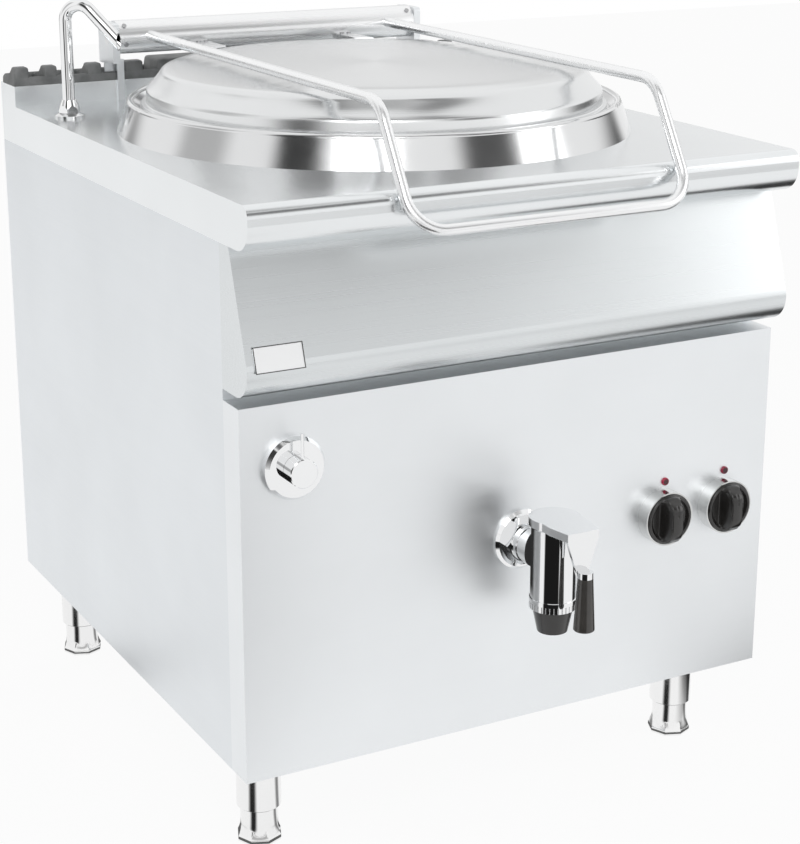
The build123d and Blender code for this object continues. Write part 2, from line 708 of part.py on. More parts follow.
def safety_valve():
    """Relief valve on a stub out of the back of the jacket."""
    valve_y = POT_Y + JACKET_R + VALVE_STUB_L
    stub = tube_y(VALVE_STUB_R, VALVE_STUB_R - VALVE_STUB_T, POT_Y + JACKET_R / 2, valve_y, 0, VALVE_Z)
    stub -= rod_z(JACKET_R, VALVE_Z - 2 * VALVE_STUB_R, VALVE_Z + 2 * VALVE_STUB_R, 0, POT_Y)
    body = rod_z(VALVE_BODY_R, VALVE_Z - VALVE_BODY_R, VALVE_Z - VALVE_BODY_R + VALVE_BODY_L, 0, valve_y)
    cap_z = VALVE_Z - VALVE_BODY_R + VALVE_BODY_L
    return stub + body + hexagon_z(VALVE_CAP_FLATS, cap_z, cap_z + VALVE_CAP_H, 0, valve_y)


# ---------------------------------------------------------------- lid pieces
def lid_form(inset):
    """Solid of the lid's outside, all faces moved in by inset."""
    base = LEDGE_Z + FREE
    low = base - 1 if inset > 0 else base
    points = (
        (0, low),
        (LID_BAND_R - inset, low),
        (LID_BAND_R - inset, LID_BAND_Z - inset / 2),
        (LID_STEP_R - inset, LID_STEP_Z - inset),
        (LID_TOP_R - inset, LID_TOP_Z - inset),
        (0, LID_TOP_Z - inset),
    )
    form = turned(points, POT_Y)
    half = LID_STRIP_HALF - inset
    top = LID_TOP_Z + LID_STRIP_H - inset
    strip = rod_z(LID_TOP_R - inset, LID_TOP_Z - 2 * LID_T, top, 0, POT_Y)
    strip &= box(-half, half, POT_Y - LID_R, POT_Y + LID_R, LID_TOP_Z - 2 * LID_T, top)
    return form + strip


def lid_shell():
    base = LEDGE_Z + FREE
    shell = lid_form(0) - lid_form(LID_T)
    return shell + tube_z(LID_R, LID_BAND_R - LID_T, base, base + LID_FLANGE_T, 0, POT_Y)


def lid_inner_skin():
    radius = LID_BAND_R - LID_T - WELD
    return rod_z(radius, LID_SKIN_Z, LID_SKIN_Z + LID_SKIN_T, 0, POT_Y)


def hinge_tube():
    return tube_x(HINGE_TUBE_R, HINGE_TUBE_R - HINGE_TUBE_T, -HINGE_HALF, HINGE_HALF, HINGE_Y, HINGE_Z)


def hinge_bushes():
    outer = HINGE_TUBE_R - HINGE_TUBE_T
    bore = SHAFT_R + RUNNING
    left = tube_x(outer, bore, -HINGE_HALF, -HINGE_HALF + BUSH_L, HINGE_Y, HINGE_Z)
    return left + tube_x(outer, bore, HINGE_HALF - BUSH_L, HINGE_HALF, HINGE_Y, HINGE_Z)


def hinge_shaft():
    end = HINGE_HALF + FREE + CHEEK_T
    return rod_x(SHAFT_R, -end, end, HINGE_Y, HINGE_Z)


def balance_springs():
    """Torsion springs inside the hinge tube, each against a collar clamped on the shaft."""
    start = HINGE_HALF - BUSH_L - FREE - SPRING_WIRE_R - SPRING_L
    coil_path = Helix(SPRING_PITCH, SPRING_L, SPRING_R)
    begin = Plane(coil_path @ 0, z_dir=coil_path % 0)
    coil = sweep(begin * Circle(SPRING_WIRE_R), path=coil_path, is_frenet=True)
    coil = Pos(start, HINGE_Y, HINGE_Z) * Rot(0, 90, 0) * coil
    anchor_x = start - SPRING_WIRE_R
    anchor = tube_x(ANCHOR_R, SHAFT_R + RUNNING, anchor_x - ANCHOR_L, anchor_x, HINGE_Y, HINGE_Z)
    right = coil + anchor
    return right + mirror(right, about=Plane.YZ)


def handle_loop():
    points = (
        (-HANDLE_HALF, HINGE_Y, HANDLE_Z),
        (-HANDLE_HALF, HANDLE_KNEE_Y, HANDLE_Z),
        (-HANDLE_HALF, HANDLE_RAIL_Y, HANDLE_RAIL_Z),
        (HANDLE_HALF, HANDLE_RAIL_Y, HANDLE_RAIL_Z),
        (HANDLE_HALF, HANDLE_KNEE_Y, HANDLE_Z),
        (HANDLE_HALF, HINGE_Y, HANDLE_Z),
    )
    loop = pipe(points, HANDLE_R, HANDLE_T, HANDLE_BEND_R)
    return loop - rod_x(HINGE_TUBE_R, -HINGE_HALF, HINGE_HALF, HINGE_Y, HINGE_Z)


def lid_straps():
    """Bars that join the back of the lid to the hinge tube."""
    half = STRAP_W / 2
    bars = None
    for x in (-STRAP_X, STRAP_X):
        bar = box(x - half, x + half, POT_Y + LID_TOP_R / 2, HINGE_Y, STRAP_Z, STRAP_Z + STRAP_T)
        for offset_x in (-STRAP_SCREW_PITCH / 2, STRAP_SCREW_PITCH / 2):
            screw_y = HINGE_Y - STRAP_SCREW_BACK
            bar -= rod_z(SCREW_SHANK_R + WELD, STRAP_Z - 1, STRAP_Z + STRAP_T + 1, x + offset_x, screw_y)
        bars = bar if bars is None else bars + bar
    bars -= lid_form(0)
    return bars - rod_x(HINGE_TUBE_R, -HINGE_HALF, HINGE_HALF, HINGE_Y, HINGE_Z)


def lid_screws():
    """Cap screws in the straps and in the ends of the hinge tube."""
    screws = None
    head_z = STRAP_Z + STRAP_T
    for x in (-STRAP_X, STRAP_X):
        for offset_x in (-STRAP_SCREW_PITCH / 2, STRAP_SCREW_PITCH / 2):
            place = (x + offset_x, HINGE_Y - STRAP_SCREW_BACK)
            screw = rod_z(SCREW_HEAD_R, head_z, head_z + SCREW_HEAD_H, *place)
            screw += rod_z(SCREW_SHANK_R, STRAP_Z, head_z, *place)
            screws = screw if screws is None else screws + screw
    for side in (-1, 1):
        for angle in TUBE_SCREW_ANGLES:
            x = side * (HINGE_HALF - TUBE_SCREW_INSET)
            screw = rod_z(SCREW_HEAD_R, HINGE_TUBE_R + WELD, HINGE_TUBE_R + SCREW_HEAD_H)
            screws += Pos(x, HINGE_Y, HINGE_Z) * Rot(90 - angle, 0, 0) * screw
    return screws


def hinge_bracket(side):
    """Cheek that holds the hinge shaft, on a shelf carried by a post and a back plate."""
    inner = HINGE_HALF + FREE
    outer = inner + CHEEK_T
    y1 = CHEEK_Y0 + CHEEK_W
    shelf_top = SHELF_Z + SHELF_T
    cheek = box(inner, outer, CHEEK_Y0, y1, shelf_top, CHEEK_TOP_Z)
    top_edges = cheek.edges().filter_by(Axis.X).group_by(Axis.Z)[-1]
    cheek = fillet(top_edges, CHEEK_CORNER_R)
    post_y0 = UPSTAND_Y - POST_T
    cheek += box(POST_X, outer, post_y0, y1, SHELF_Z, shelf_top)
    cheek += box(POST_X, POST_X + POST_W, post_y0, UPSTAND_Y, WORKTOP_Z, SHELF_Z)
    back_y0 = UPSTAND_Y + GRILLE_INSET + GRILLE_RAIL_W + BACK_PLATE_GAP
    cheek += box(POST_X, POST_X + BACK_PLATE_W, back_y0, back_y0 + POST_T, UPSTAND_Z, SHELF_Z)
    cheek -= rod_x(SHAFT_R, inner - 1, outer + 1, HINGE_Y, HINGE_Z)
    return cheek if side > 0 else mirror(cheek, about=Plane.YZ)


# ---------------------------------------------------------------- spout and water control
def spout_flange():
    z1 = WORKTOP_Z + SPOUT_FLANGE_H
    foot = SPOUT_FLANGE_H / 2
    disc = rod_z(SPOUT_FLANGE_R, WORKTOP_Z, WORKTOP_Z + foot, SPOUT_X, SPOUT_Y)
    disc += cone_z(SPOUT_FLANGE_R, SPOUT_NUT_FLATS / 2, WORKTOP_Z + foot, z1, SPOUT_X, SPOUT_Y)
    return disc - rod_z(SPOUT_R + RUNNING, WORKTOP_Z - 1, z1 + 1, SPOUT_X, SPOUT_Y)


def spout_nut():
    z0 = WORKTOP_Z + SPOUT_FLANGE_H
    nut = hexagon_z(SPOUT_NUT_FLATS, z0, z0 + SPOUT_NUT_H, SPOUT_X, SPOUT_Y)
    corner_r = SPOUT_NUT_FLATS / 2 / cos(radians(30))
    nut &= cone_z(corner_r + 2, SPOUT_NUT_TOP_R, z0, z0 + SPOUT_NUT_H, SPOUT_X, SPOUT_Y)
    return nut - rod_z(SPOUT_R + RUNNING, z0 - 1, z0 + SPOUT_NUT_H + 1, SPOUT_X, SPOUT_Y)


def spout_tube():
    """Swan neck, cut upright at its mouth."""
    bend_z = WORKTOP_Z + SPOUT_RISE
    turn = radians(SPOUT_BEND_DEG)
    end_reach = SPOUT_BEND_R * (1 - cos(turn))
    end_rise = SPOUT_BEND_R * sin(turn)
    mid_reach = SPOUT_BEND_R * (1 - cos(turn / 2))
    mid_rise = SPOUT_BEND_R * sin(turn / 2)
    tail_reach = end_reach + (SPOUT_TAIL + SPOUT_R) * sin(turn)
    tail_z = bend_z + end_rise + (SPOUT_TAIL + SPOUT_R) * cos(turn)
    foot_z = SPOUT_FOOT_Z - SPOUT_INSERT
    route = Line((0, 0, foot_z), (0, 0, bend_z))
    bend_end = (end_reach, 0, bend_z + end_rise)
    route += ThreePointArc((0, 0, bend_z), (mid_reach, 0, bend_z + mid_rise), bend_end)
    route += Line(bend_end, (tail_reach, 0, tail_z))
    start = Plane((0, 0, foot_z))
    skin = sweep(start * Circle(SPOUT_R), path=route)
    bore = sweep(start * Circle(SPOUT_R - SPOUT_T), path=route)
    mouth_x = end_reach + SPOUT_TAIL * sin(turn)
    keep = 4 * SPOUT_R
    neck = skin - bore - box(mouth_x, mouth_x + keep, -keep, keep, tail_z - keep, tail_z + keep)
    return Pos(SPOUT_X, SPOUT_Y, 0) * Rot(0, 0, SPOUT_HEADING) * neck


def water_rosette():
    rim_y = FRONT_PANEL_Y - ROSETTE_RIM
    disc = rod_y(ROSETTE_R, rim_y, FRONT_PANEL_Y, WATER_X, WATER_Z)
    disc += cone_y(ROSETTE_R - ROSETTE_BEVEL, ROSETTE_R, ROSETTE_Y, rim_y, WATER_X, WATER_Z)
    return disc - rod_y(STEM_R + RUNNING, ROSETTE_Y - 1, FRONT_PANEL_Y + 1, WATER_X, WATER_Z)


def water_control():
    """Barrel and pin that are turned by hand, on the mixer's stem."""
    barrel = rod_y(BARREL_R, BARREL_Y, ROSETTE_Y - FREE, WATER_X, WATER_Z)
    barrel = chamfer(barrel.edges().group_by(Axis.Y)[0], 1)
    stem_y = FRONT_PANEL_Y + PANEL_T + STEM_DEPTH
    barrel += rod_y(STEM_R, ROSETTE_Y - FREE, stem_y, WATER_X, WATER_Z)
    return barrel + rod_z(PIN_R, WATER_Z, PIN_TOP_Z, WATER_X, BARREL_Y + PIN_BACK)


def mixer_valve():
    """Mixing valve behind the front panel, with its two side ports and its top port."""
    y0 = FRONT_PANEL_Y + PANEL_T
    y1 = y0 + MIXER_L
    middle = (y0 + y1) / 2
    body = rod_y(MIXER_R, y0, y1, WATER_X, WATER_Z)
    port_r = PIPE_R + MIXER_PORT_WALL
    for z in (WATER_Z - PORT_STEP, WATER_Z + PORT_STEP):
        body += rod_x(port_r, WATER_X - MIXER_R - MIXER_PORT_OUT, WATER_X, middle, z)
    body += rod_z(port_r, WATER_Z, WATER_Z + MIXER_R + MIXER_PORT_UP, WATER_X, middle)
    return body - rod_y(STEM_R + RUNNING, y0 - 1, y0 + STEM_DEPTH + 1, WATER_X, WATER_Z)


def water_pipes():
    """Hot and cold pipes from the inlets to the mixer, and the feed up to the spout."""
    middle = FRONT_PANEL_Y + PANEL_T + MIXER_L / 2
    port_x = WATER_X - MIXER_R - MIXER_PORT_OUT
    foot_z = TRAY_Z + TRAY_T + INLET_NUT_H
    pipes = None
    for z, y in zip((WATER_Z - PORT_STEP, WATER_Z + PORT_STEP), INLET_Y):
        points = ((port_x, middle, z), (PIPE_X, middle, z), (PIPE_X, y, z), (PIPE_X, y, foot_z))
        run = FilletPolyline(*points, radius=PIPE_ELBOW_R)
        start = Plane(run @ 0, z_dir=run % 0)
        line = sweep(start * Circle(PIPE_R), path=run)
        line -= rod_z(PIPE_R - PIPE_T, foot_z - 1, z - PIPE_BEND_R, PIPE_X, y)
        pipes = line if pipes is None else pipes + line
    feed_points = (
        (WATER_X, middle, WATER_Z + MIXER_R + MIXER_PORT_UP),
        (WATER_X, middle, FEED_STEP_Z),
        (WATER_X, FEED_BACK_Y, FEED_STEP_Z),
        (WATER_X, FEED_BACK_Y, FEED_Z),
        (SPOUT_X, FEED_CROSS_Y, FEED_Z),
        (SPOUT_X, SPOUT_Y, FEED_Z),
        (SPOUT_X, SPOUT_Y, WORKTOP_Z + SPOUT_FLANGE_H - 2 - FREE),
    )
    return pipes + pipe(feed_points, PIPE_R, PIPE_T, PIPE_BEND_R)


def water_inlets():
    """Threaded stubs under the cabinet, each clamped to the base tray by its shoulder and a nut."""
    z0 = CABINET_Z - INLET_L
    nut_z = TRAY_Z + TRAY_T
    stubs = None
    for y in INLET_Y:
        stub = rod_z(INLET_R, z0, nut_z, PIPE_X, y)
        stub += rod_z(INLET_SHOULDER_R, CABINET_Z, TRAY_Z, PIPE_X, y)
        stub += rod_z(INLET_NUT_R, nut_z, nut_z + INLET_NUT_H, PIPE_X, y)
        stub -= rod_z(PIPE_R - PIPE_T, z0 - 1, nut_z + INLET_NUT_H + 1, PIPE_X, y)
        stubs = stub if stubs is None else stubs + stub
    return stubs


# ---------------------------------------------------------------- drain tap
def tap_flange():
    rim = TAP_WALL_T / 2
    y0 = FRONT_PANEL_Y - TAP_WALL_T
    disc = rod_y(TAP_WALL_R, FRONT_PANEL_Y - rim, FRONT_PANEL_Y, 0, TAP_Z)
    disc += cone_y(TAP_WALL_R - TAP_WALL_BEVEL, TAP_WALL_R, y0, FRONT_PANEL_Y - rim, 0, TAP_Z)
    return disc - rod_y(TAP_PIPE_R + WELD, y0 - 1, FRONT_PANEL_Y + 1, 0, TAP_Z)


def tap_union_nut():
    """Hexagon nut that draws the tap on to the drain pipe, coned towards the tap."""
    y1 = FRONT_PANEL_Y - TAP_WALL_T
    y0 = y1 - TAP_NUT_T
    corner_r = TAP_NUT_FLATS / 2 / cos(radians(30))
    nut = hexagon_y(TAP_NUT_FLATS, y0, y1, 0, TAP_Z)
    nut &= cone_y(corner_r - TAP_NUT_BEVEL, corner_r + TAP_NUT_T, y0, y1, 0, TAP_Z)
    nut += cone_y(TAP_PIPE_R + 1, TAP_NUT_FLATS / 2 - 1, y0 - TAP_NUT_CONE, y0, 0, TAP_Z)
    return nut - rod_y(TAP_PIPE_R + WELD, y0 - TAP_NUT_CONE - 1, y1 + 1, 0, TAP_Z)


def tap_body():
    """Upright barrel with the neck that the drain water comes in by."""
    neck_y1 = FRONT_PANEL_Y - TAP_WALL_T
    barrel = rod_z(TAP_BODY_R, TAP_BODY_Z0, TAP_BODY_Z1, 0, TAP_Y)
    barrel = chamfer(barrel.edges().sort_by(Axis.Z)[-1], 2)
    barrel += rod_y(TAP_PIPE_R, TAP_Y, neck_y1, 0, TAP_Z)
    barrel -= rod_y(PLUG_BORE_R, TAP_Y, neck_y1 + 1, 0, TAP_Z)
    barrel -= rod_z(PLUG_R + RUNNING, TAP_BODY_Z0 - 1, TAP_BODY_Z1 - HOOD_T, 0, TAP_Y)
    return barrel - rod_z(SPINDLE_R + RUNNING, TAP_BODY_Z0, TAP_BODY_Z1 + 1, 0, TAP_Y)


def tap_knurled_ring():
    z1 = TAP_BODY_Z0
    z0 = z1 - TAP_RING_H
    ring = tube_z(TAP_RING_R, TAP_NOZZLE_BORE_R, z0, z1, 0, TAP_Y)
    tooth = rod_z(TAP_TOOTH_DEPTH, z0 - 1, z0 + TAP_TOOTH_L, TAP_RING_R, 0)
    for index in range(TAP_RING_TEETH):
        ring -= Pos(0, TAP_Y, 0) * Rot(0, 0, index * 360 / TAP_RING_TEETH) * tooth
    return ring


def tap_nozzle():
    z1 = TAP_BODY_Z0 - TAP_RING_H
    z0 = z1 - TAP_NOZZLE_H
    nozzle = cone_z(TAP_NOZZLE_TIP_R, TAP_NOZZLE_R, z0, z1, 0, TAP_Y)
    return nozzle - rod_z(TAP_NOZZLE_BORE_R, z0 - 1, z1 + 1, 0, TAP_Y)


def tap_plug():
    """Hollow plug that turns in the body; a side port meets the neck when the tap is open."""
    z0 = TAP_BODY_Z0 + FREE
    z1 = TAP_BODY_Z1 - HOOD_T - FREE
    plug = rod_z(PLUG_R, z0, z1, 0, TAP_Y)
    plug -= rod_z(PLUG_BORE_R, z0 - 1, TAP_Z + PLUG_BORE_R, 0, TAP_Y)
    plug -= rod_x(PLUG_BORE_R, 0, 2 * PLUG_R, TAP_Y, TAP_Z)
    return plug + rod_z(SPINDLE_R, z1, HOOD_TOP_Z - HOOD_T, 0, TAP_Y)


def hood_plan(inset):
    """Top view of the hood: round behind, wedge to a straight edge in front."""
    disc = Pos(0, TAP_Y) * Circle(HOOD_R - inset)
    shoulder = HOOD_SHOULDER_W / 2 - inset
    front = HOOD_FRONT_W / 2 - inset
    points = (
        (-shoulder, TAP_Y),
        (-shoulder, TAP_Y - HOOD_SHOULDER_OUT),
        (-front, TAP_Y - HOOD_FRONT_OUT + inset),
        (front, TAP_Y - HOOD_FRONT_OUT + inset),
        (shoulder, TAP_Y - HOOD_SHOULDER_OUT),
        (shoulder, TAP_Y),
    )
    return disc + make_face(Polyline(*points, close=True))


def tap_lever():
    """Hood over the tap's top, with a tongue down its front that holds the grip."""
    under = HOOD_TOP_Z - HOOD_T
    hood = Pos(0, 0, under) * extrude(hood_plan(0), HOOD_T)
    skirt = Pos(0, 0, under - HOOD_SKIRT) * extrude(hood_plan(0) - hood_plan(HOOD_T), HOOD_SKIRT)
    front = TAP_Y - HOOD_FRONT_OUT
    tongue_z0 = GRIP_TOP_Z
    points = (
        (-HOOD_FRONT_W / 2, under),
        (HOOD_FRONT_W / 2, under),
        (HOOD_FRONT_W / 2, under - HOOD_SKIRT),
        (TONGUE_TIP_W / 2, tongue_z0),
        (-TONGUE_TIP_W / 2, tongue_z0),
        (-HOOD_FRONT_W / 2, under - HOOD_SKIRT),
    )
    outline = make_face(Plane.XZ * Polyline(*points, close=True))
    tongue = Pos(0, front, 0) * extrude(outline, TONGUE_T, dir=(0, 1, 0))
    boss_top = tongue_z0 + 2 * GRIP_HOLE_R
    boss = rod_z(GRIP_TOP_R, tongue_z0, boss_top, 0, GRIP_Y)
    boss += box(-TONGUE_TIP_W / 2, TONGUE_TIP_W / 2, GRIP_Y, front + TONGUE_T, tongue_z0, boss_top)
    pin = rod_z(GRIP_HOLE_R, tongue_z0 - GRIP_L / 2, tongue_z0, 0, GRIP_Y)
    return hood + skirt + tongue + boss + pin


def tap_grip():
    z0 = GRIP_TOP_Z - GRIP_L
    grip = cone_z(GRIP_END_R, GRIP_TOP_R, z0, GRIP_TOP_Z, 0, GRIP_Y)
    grip = fillet(grip.edges().sort_by(Axis.Z)[0], 2)
    return grip - rod_z(GRIP_HOLE_R + WELD, GRIP_TOP_Z - GRIP_L / 2 - WELD, GRIP_TOP_Z + 1, 0, GRIP_Y)


# ---------------------------------------------------------------- controls
def knob_bezels():
    rings = None
    for x in KNOB_X:
        y0 = FRONT_PANEL_Y - BEZEL_DEPTH
        ring = tube_y(BEZEL_R, BEZEL_R - BEZEL_T, y0, FRONT_PANEL_Y, x, KNOB_Z)
        rings = ring if rings is None else rings + ring
    return rings


def knob(x):
    """Round body with two pockets, a wing to turn it by, a pointer, and its shaft."""
    face_y = FRONT_PANEL_Y - KNOB_FACE
    back_y = FRONT_PANEL_Y - FREE
    body = rod_y(KNOB_R, face_y, back_y, x, KNOB_Z)
    pockets = rod_y(KNOB_POCKET_R, face_y - 1, face_y + KNOB_POCKET, x, KNOB_Z)
    half = KNOB_BLADE_W / 2
    reach = KNOB_BLADE_LEN / 2
    blade_y = FRONT_PANEL_Y - KNOB_BLADE_OUT
    pockets -= box(x - half, x + half, face_y - 2, back_y, KNOB_Z - KNOB_R, KNOB_Z + KNOB_R)
    blade = box(x - half, x + half, blade_y, face_y, KNOB_Z - reach, KNOB_Z + reach)
    blade = fillet(blade.edges().filter_by(Axis.Z), KNOB_BLADE_R)
    pointer = KNOB_POINTER_W / 2
    ridge = box(x - pointer, x + pointer, blade_y - pointer, blade_y + 1, KNOB_Z + reach / 2, KNOB_Z + reach)
    shaft_y = FRONT_PANEL_Y + PANEL_T + SWITCH_DEPTH / 2
    shaft = rod_y(KNOB_SHAFT_R, back_y, shaft_y, x, KNOB_Z)
    return body - pockets + blade + ridge + shaft


def switch_body(x):
    """Switch behind the front panel that a knob's shaft turns."""
    y0 = FRONT_PANEL_Y + PANEL_T
    half = SWITCH_W / 2
    body = box(x - half, x + half, y0, y0 + SWITCH_DEPTH, KNOB_Z - half, KNOB_Z + half)
    tab = SWITCH_TAB_W / 2
    tab_h = SWITCH_TAB_H / 2
    back = y0 + SWITCH_DEPTH
    body += box(x - tab, x + tab, back, back + SWITCH_TAB_L, KNOB_Z - tab_h, KNOB_Z + tab_h)
    return body - rod_y(KNOB_SHAFT_R + RUNNING, y0 - 1, y0 + SWITCH_DEPTH / 2 + 1, x, KNOB_Z)


def pilot_lamp(x):
    """Lens over the panel, with its holder behind."""
    z = KNOB_Z + LAMP_DZ
    lens = rod_y(LAMP_R, FRONT_PANEL_Y - LAMP_OUT, FRONT_PANEL_Y, x, z)
    lens = fillet(lens.edges().group_by(Axis.Y)[0], LAMP_OUT / 2)
    return lens + rod_y(LAMP_BODY_R, FRONT_PANEL_Y, FRONT_PANEL_Y + LAMP_BACK, x, z)


def contactor():
    """Contactor and terminals on the base tray."""
    width, depth, height = CONTACTOR
    z0 = TRAY_Z + TRAY_T
    x0 = CONTACTOR_X - width / 2
    y0 = CONTACTOR_Y
    step_z = z0 + CONTACTOR_STEP_Z
    block = box(x0, x0 + width, y0, y0 + depth, z0, step_z)
    step = CONTACTOR_STEP
    return block + box(x0, x0 + width, y0 + step, y0 + depth - step, step_z, z0 + height)


def cable_gland():
    z_top = TRAY_Z + TRAY_T
    gland = hexagon_z(GLAND_FLATS, TRAY_Z - GLAND_DOWN, TRAY_Z, GLAND_X, GLAND_Y)
    gland += rod_z(GLAND_BORE_R + HOLE_GAP - WELD, TRAY_Z, z_top, GLAND_X, GLAND_Y)
    gland += hexagon_z(GLAND_FLATS, z_top, z_top + GLAND_UP, GLAND_X, GLAND_Y)
    return gland - rod_z(GLAND_BORE_R, TRAY_Z - GLAND_DOWN - 1, z_top + GLAND_UP + 1, GLAND_X, GLAND_Y)


# ---------------------------------------------------------------- legs
def leg_tube(x, y):
    """Leg with a threaded foot guide in its lower end and a stud through the base tray."""
    leg = rod_z(LEG_R, LEG_BOTTOM_Z, TRAY_Z, x, y)
    leg = chamfer(leg.edges().sort_by(Axis.Z)[0], LEG_T / 2)
    leg -= rod_z(FOOT_R + RUNNING, LEG_BOTTOM_Z - 1, LEG_BOTTOM_Z + LEG_NUT_H + 1, x, y)
    leg -= rod_z(LEG_R - LEG_T, LEG_BOTTOM_Z + LEG_NUT_H, TRAY_Z - LEG_CAP_T, x, y)
    nut_z = TRAY_Z + TRAY_T
    leg += rod_z(STUD_R, TRAY_Z, nut_z + STUD_NUT_H + 2, x, y)
    return leg + hexagon_z(STUD_NUT_R * 2, nut_z, nut_z + STUD_NUT_H, x, y)


def foot(x, y):
    """Screw foot with an eight-sided base."""
    octagon = RegularPolygon(FOOT_FLATS / 2, FOOT_SIDES, major_radius=False)
    base = Pos(x, y, 0) * extrude(octagon, FOOT_BASE_H)
    base += cone_z(FOOT_FLATS / 2, FOOT_R, FOOT_BASE_H, FOOT_BASE_H + FOOT_CONE_H, x, y)
    base += rod_z(FOOT_R, FOOT_BASE_H, FOOT_TOP_Z, x, y)
    return base - rod_z(FOOT_BORE_R, FOOT_BASE_H, FOOT_TOP_Z + 1, x, y)


# ---------------------------------------------------------------- writing
def write(name, shape):
    export_step(Pos(0, -ORIGIN_Y, 0) * shape, "parts/" + name + ".step")


def pieces():
    """Every piece by name."""
    made = {
        "worktop": worktop(),
        "rear_upstand": rear_upstand(),
        "flue_grille": flue_grille(),
        "left_side_panel": side_panel(-1),
        "right_side_panel": side_panel(1),
        "rear_panel": rear_panel(),
        "front_panel": front_panel(),
        "control_fascia": control_fascia(),
        "badge_plate": badge_plate(),
        "front_rail": front_rail(),
        "base_tray": base_tray(),
        "collar": collar(),
        "inner_vessel": inner_vessel(),
        "jacket_shell": jacket_shell(),
        "insulation_blanket": insulation_blanket(),
        "heating_elements": heating_elements(),
        "drain_pipe": drain_pipe(),
        "drain_strainer": drain_strainer(),
        "safety_valve": safety_valve(),
        "lid_shell": lid_shell(),
        "lid_inner_skin": lid_inner_skin(),
        "hinge_tube": hinge_tube(),
        "hinge_bushes": hinge_bushes(),
        "hinge_shaft": hinge_shaft(),
        "balance_springs": balance_springs(),
        "handle_loop": handle_loop(),
        "lid_straps": lid_straps(),
        "lid_screws": lid_screws(),
        "hinge_bracket_left": hinge_bracket(-1),
        "hinge_bracket_right": hinge_bracket(1),
        "spout_flange": spout_flange(),
        "spout_nut": spout_nut(),
        "spout_tube": spout_tube(),
        "water_rosette": water_rosette(),
        "water_control": water_control(),
        "mixer_valve": mixer_valve(),
        "water_pipes": water_pipes(),
        "water_inlets": water_inlets(),
        "tap_flange": tap_flange(),
        "tap_union_nut": tap_union_nut(),
        "tap_body": tap_body(),
        "tap_knurled_ring": tap_knurled_ring(),
        "tap_nozzle": tap_nozzle(),
        "tap_plug": tap_plug(),
        "tap_lever": tap_lever(),
        "tap_grip": tap_grip(),
        "knob_bezels": knob_bezels(),
        "thermostat_knob": knob(KNOB_X[0]),
        "power_knob": knob(KNOB_X[1]),
        "thermostat_body": switch_body(KNOB_X[0]),
        "power_switch_body": switch_body(KNOB_X[1]),
        "heating_lamp": pilot_lamp(KNOB_X[0] + LAMP_DX),
        "power_lamp": pilot_lamp(KNOB_X[1] + LAMP_DX),
        "contactor": contactor(),
        "cable_gland": cable_gland(),
    }
    tubes = None
    for name, (x, y) in leg_places().items():
        made["foot_" + name] = foot(x, y)
        tube = leg_tube(x, y)
        tubes = tube if tubes is None else tubes + tube
    made["leg_tubes"] = tubes
    return made


os.makedirs("parts", exist_ok=True)
for piece_name, piece in pieces().items():
    write(piece_name, piece)
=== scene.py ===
import bpy
import bmesh
from math import cos, pi, radians, sin
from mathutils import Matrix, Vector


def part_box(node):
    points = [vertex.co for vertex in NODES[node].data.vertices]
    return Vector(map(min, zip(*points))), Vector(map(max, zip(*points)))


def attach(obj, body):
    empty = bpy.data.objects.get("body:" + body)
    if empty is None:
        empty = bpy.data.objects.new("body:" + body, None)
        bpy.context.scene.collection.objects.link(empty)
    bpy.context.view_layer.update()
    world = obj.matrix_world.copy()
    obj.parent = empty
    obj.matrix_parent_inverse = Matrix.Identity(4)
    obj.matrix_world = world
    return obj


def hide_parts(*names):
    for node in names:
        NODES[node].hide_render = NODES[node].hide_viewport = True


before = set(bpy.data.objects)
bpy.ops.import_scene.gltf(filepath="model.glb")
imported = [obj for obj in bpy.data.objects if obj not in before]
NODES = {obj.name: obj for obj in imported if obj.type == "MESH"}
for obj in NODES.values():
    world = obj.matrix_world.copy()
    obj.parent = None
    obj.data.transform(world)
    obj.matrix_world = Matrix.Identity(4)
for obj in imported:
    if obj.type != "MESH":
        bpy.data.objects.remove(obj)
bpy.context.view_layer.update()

# All lengths in metres, in the part's frame: X across, front faces -Y, floor at Z 0.
POT = (0.0, 0.0625)      # vessel axis, in X and Y
TAP = (0.0, -0.4281)     # tap axis, in X and Y
LEGS = ((-0.336, -0.2391), (0.336, -0.2391), (-0.336, 0.4519), (0.336, 0.4519))
MIDDLE = (0.0, 0.0)      # what the large studio cards turn about
PANEL_Y = -0.3471        # front face of the front panel
KNOBS = (("thermostat", 0.2255), ("power", 0.3260))
KNOB_Z = 0.395
SHARP_CAD = 28           # degrees: a CAD node's edges over this stay sharp
SHARP_PIECE = 32         # the same for a piece of this script


# ------------------------------------------------------------------ materials
def new_material(name):
    mat = bpy.data.materials.new(name)
    mat.use_nodes = True
    tree = mat.node_tree
    return mat, tree.nodes, tree.links, tree.nodes["Principled BSDF"]


def node(nodes, kind, **values):
    made = nodes.new(kind)
    for key, value in values.items():
        if key in made.inputs:
            made.inputs[key].default_value = value
        else:
            setattr(made, key, value)
    return made


def ramp(nodes, links, source, stops):
    made = nodes.new("ShaderNodeValToRGB")
    made.color_ramp.elements[0].position = stops[0][0]
    made.color_ramp.elements[0].color = (*stops[0][1], 1)
    made.color_ramp.elements[1].position = stops[-1][0]
    made.color_ramp.elements[1].color = (*stops[-1][1], 1)
    for position, colour in stops[1:-1]:
        made.color_ramp.elements.new(position).color = (*colour, 1)
    links.new(source, made.inputs["Fac"])
    return made.outputs["Color"]


def spread(nodes, links, source, low, high):
    """Maps 0..1 noise to low..high."""
    made = node(nodes, "ShaderNodeMapRange")
    made.inputs["To Min"].default_value = low
    made.inputs["To Max"].default_value = high
    links.new(source, made.inputs["Value"])
    return made.outputs["Result"]


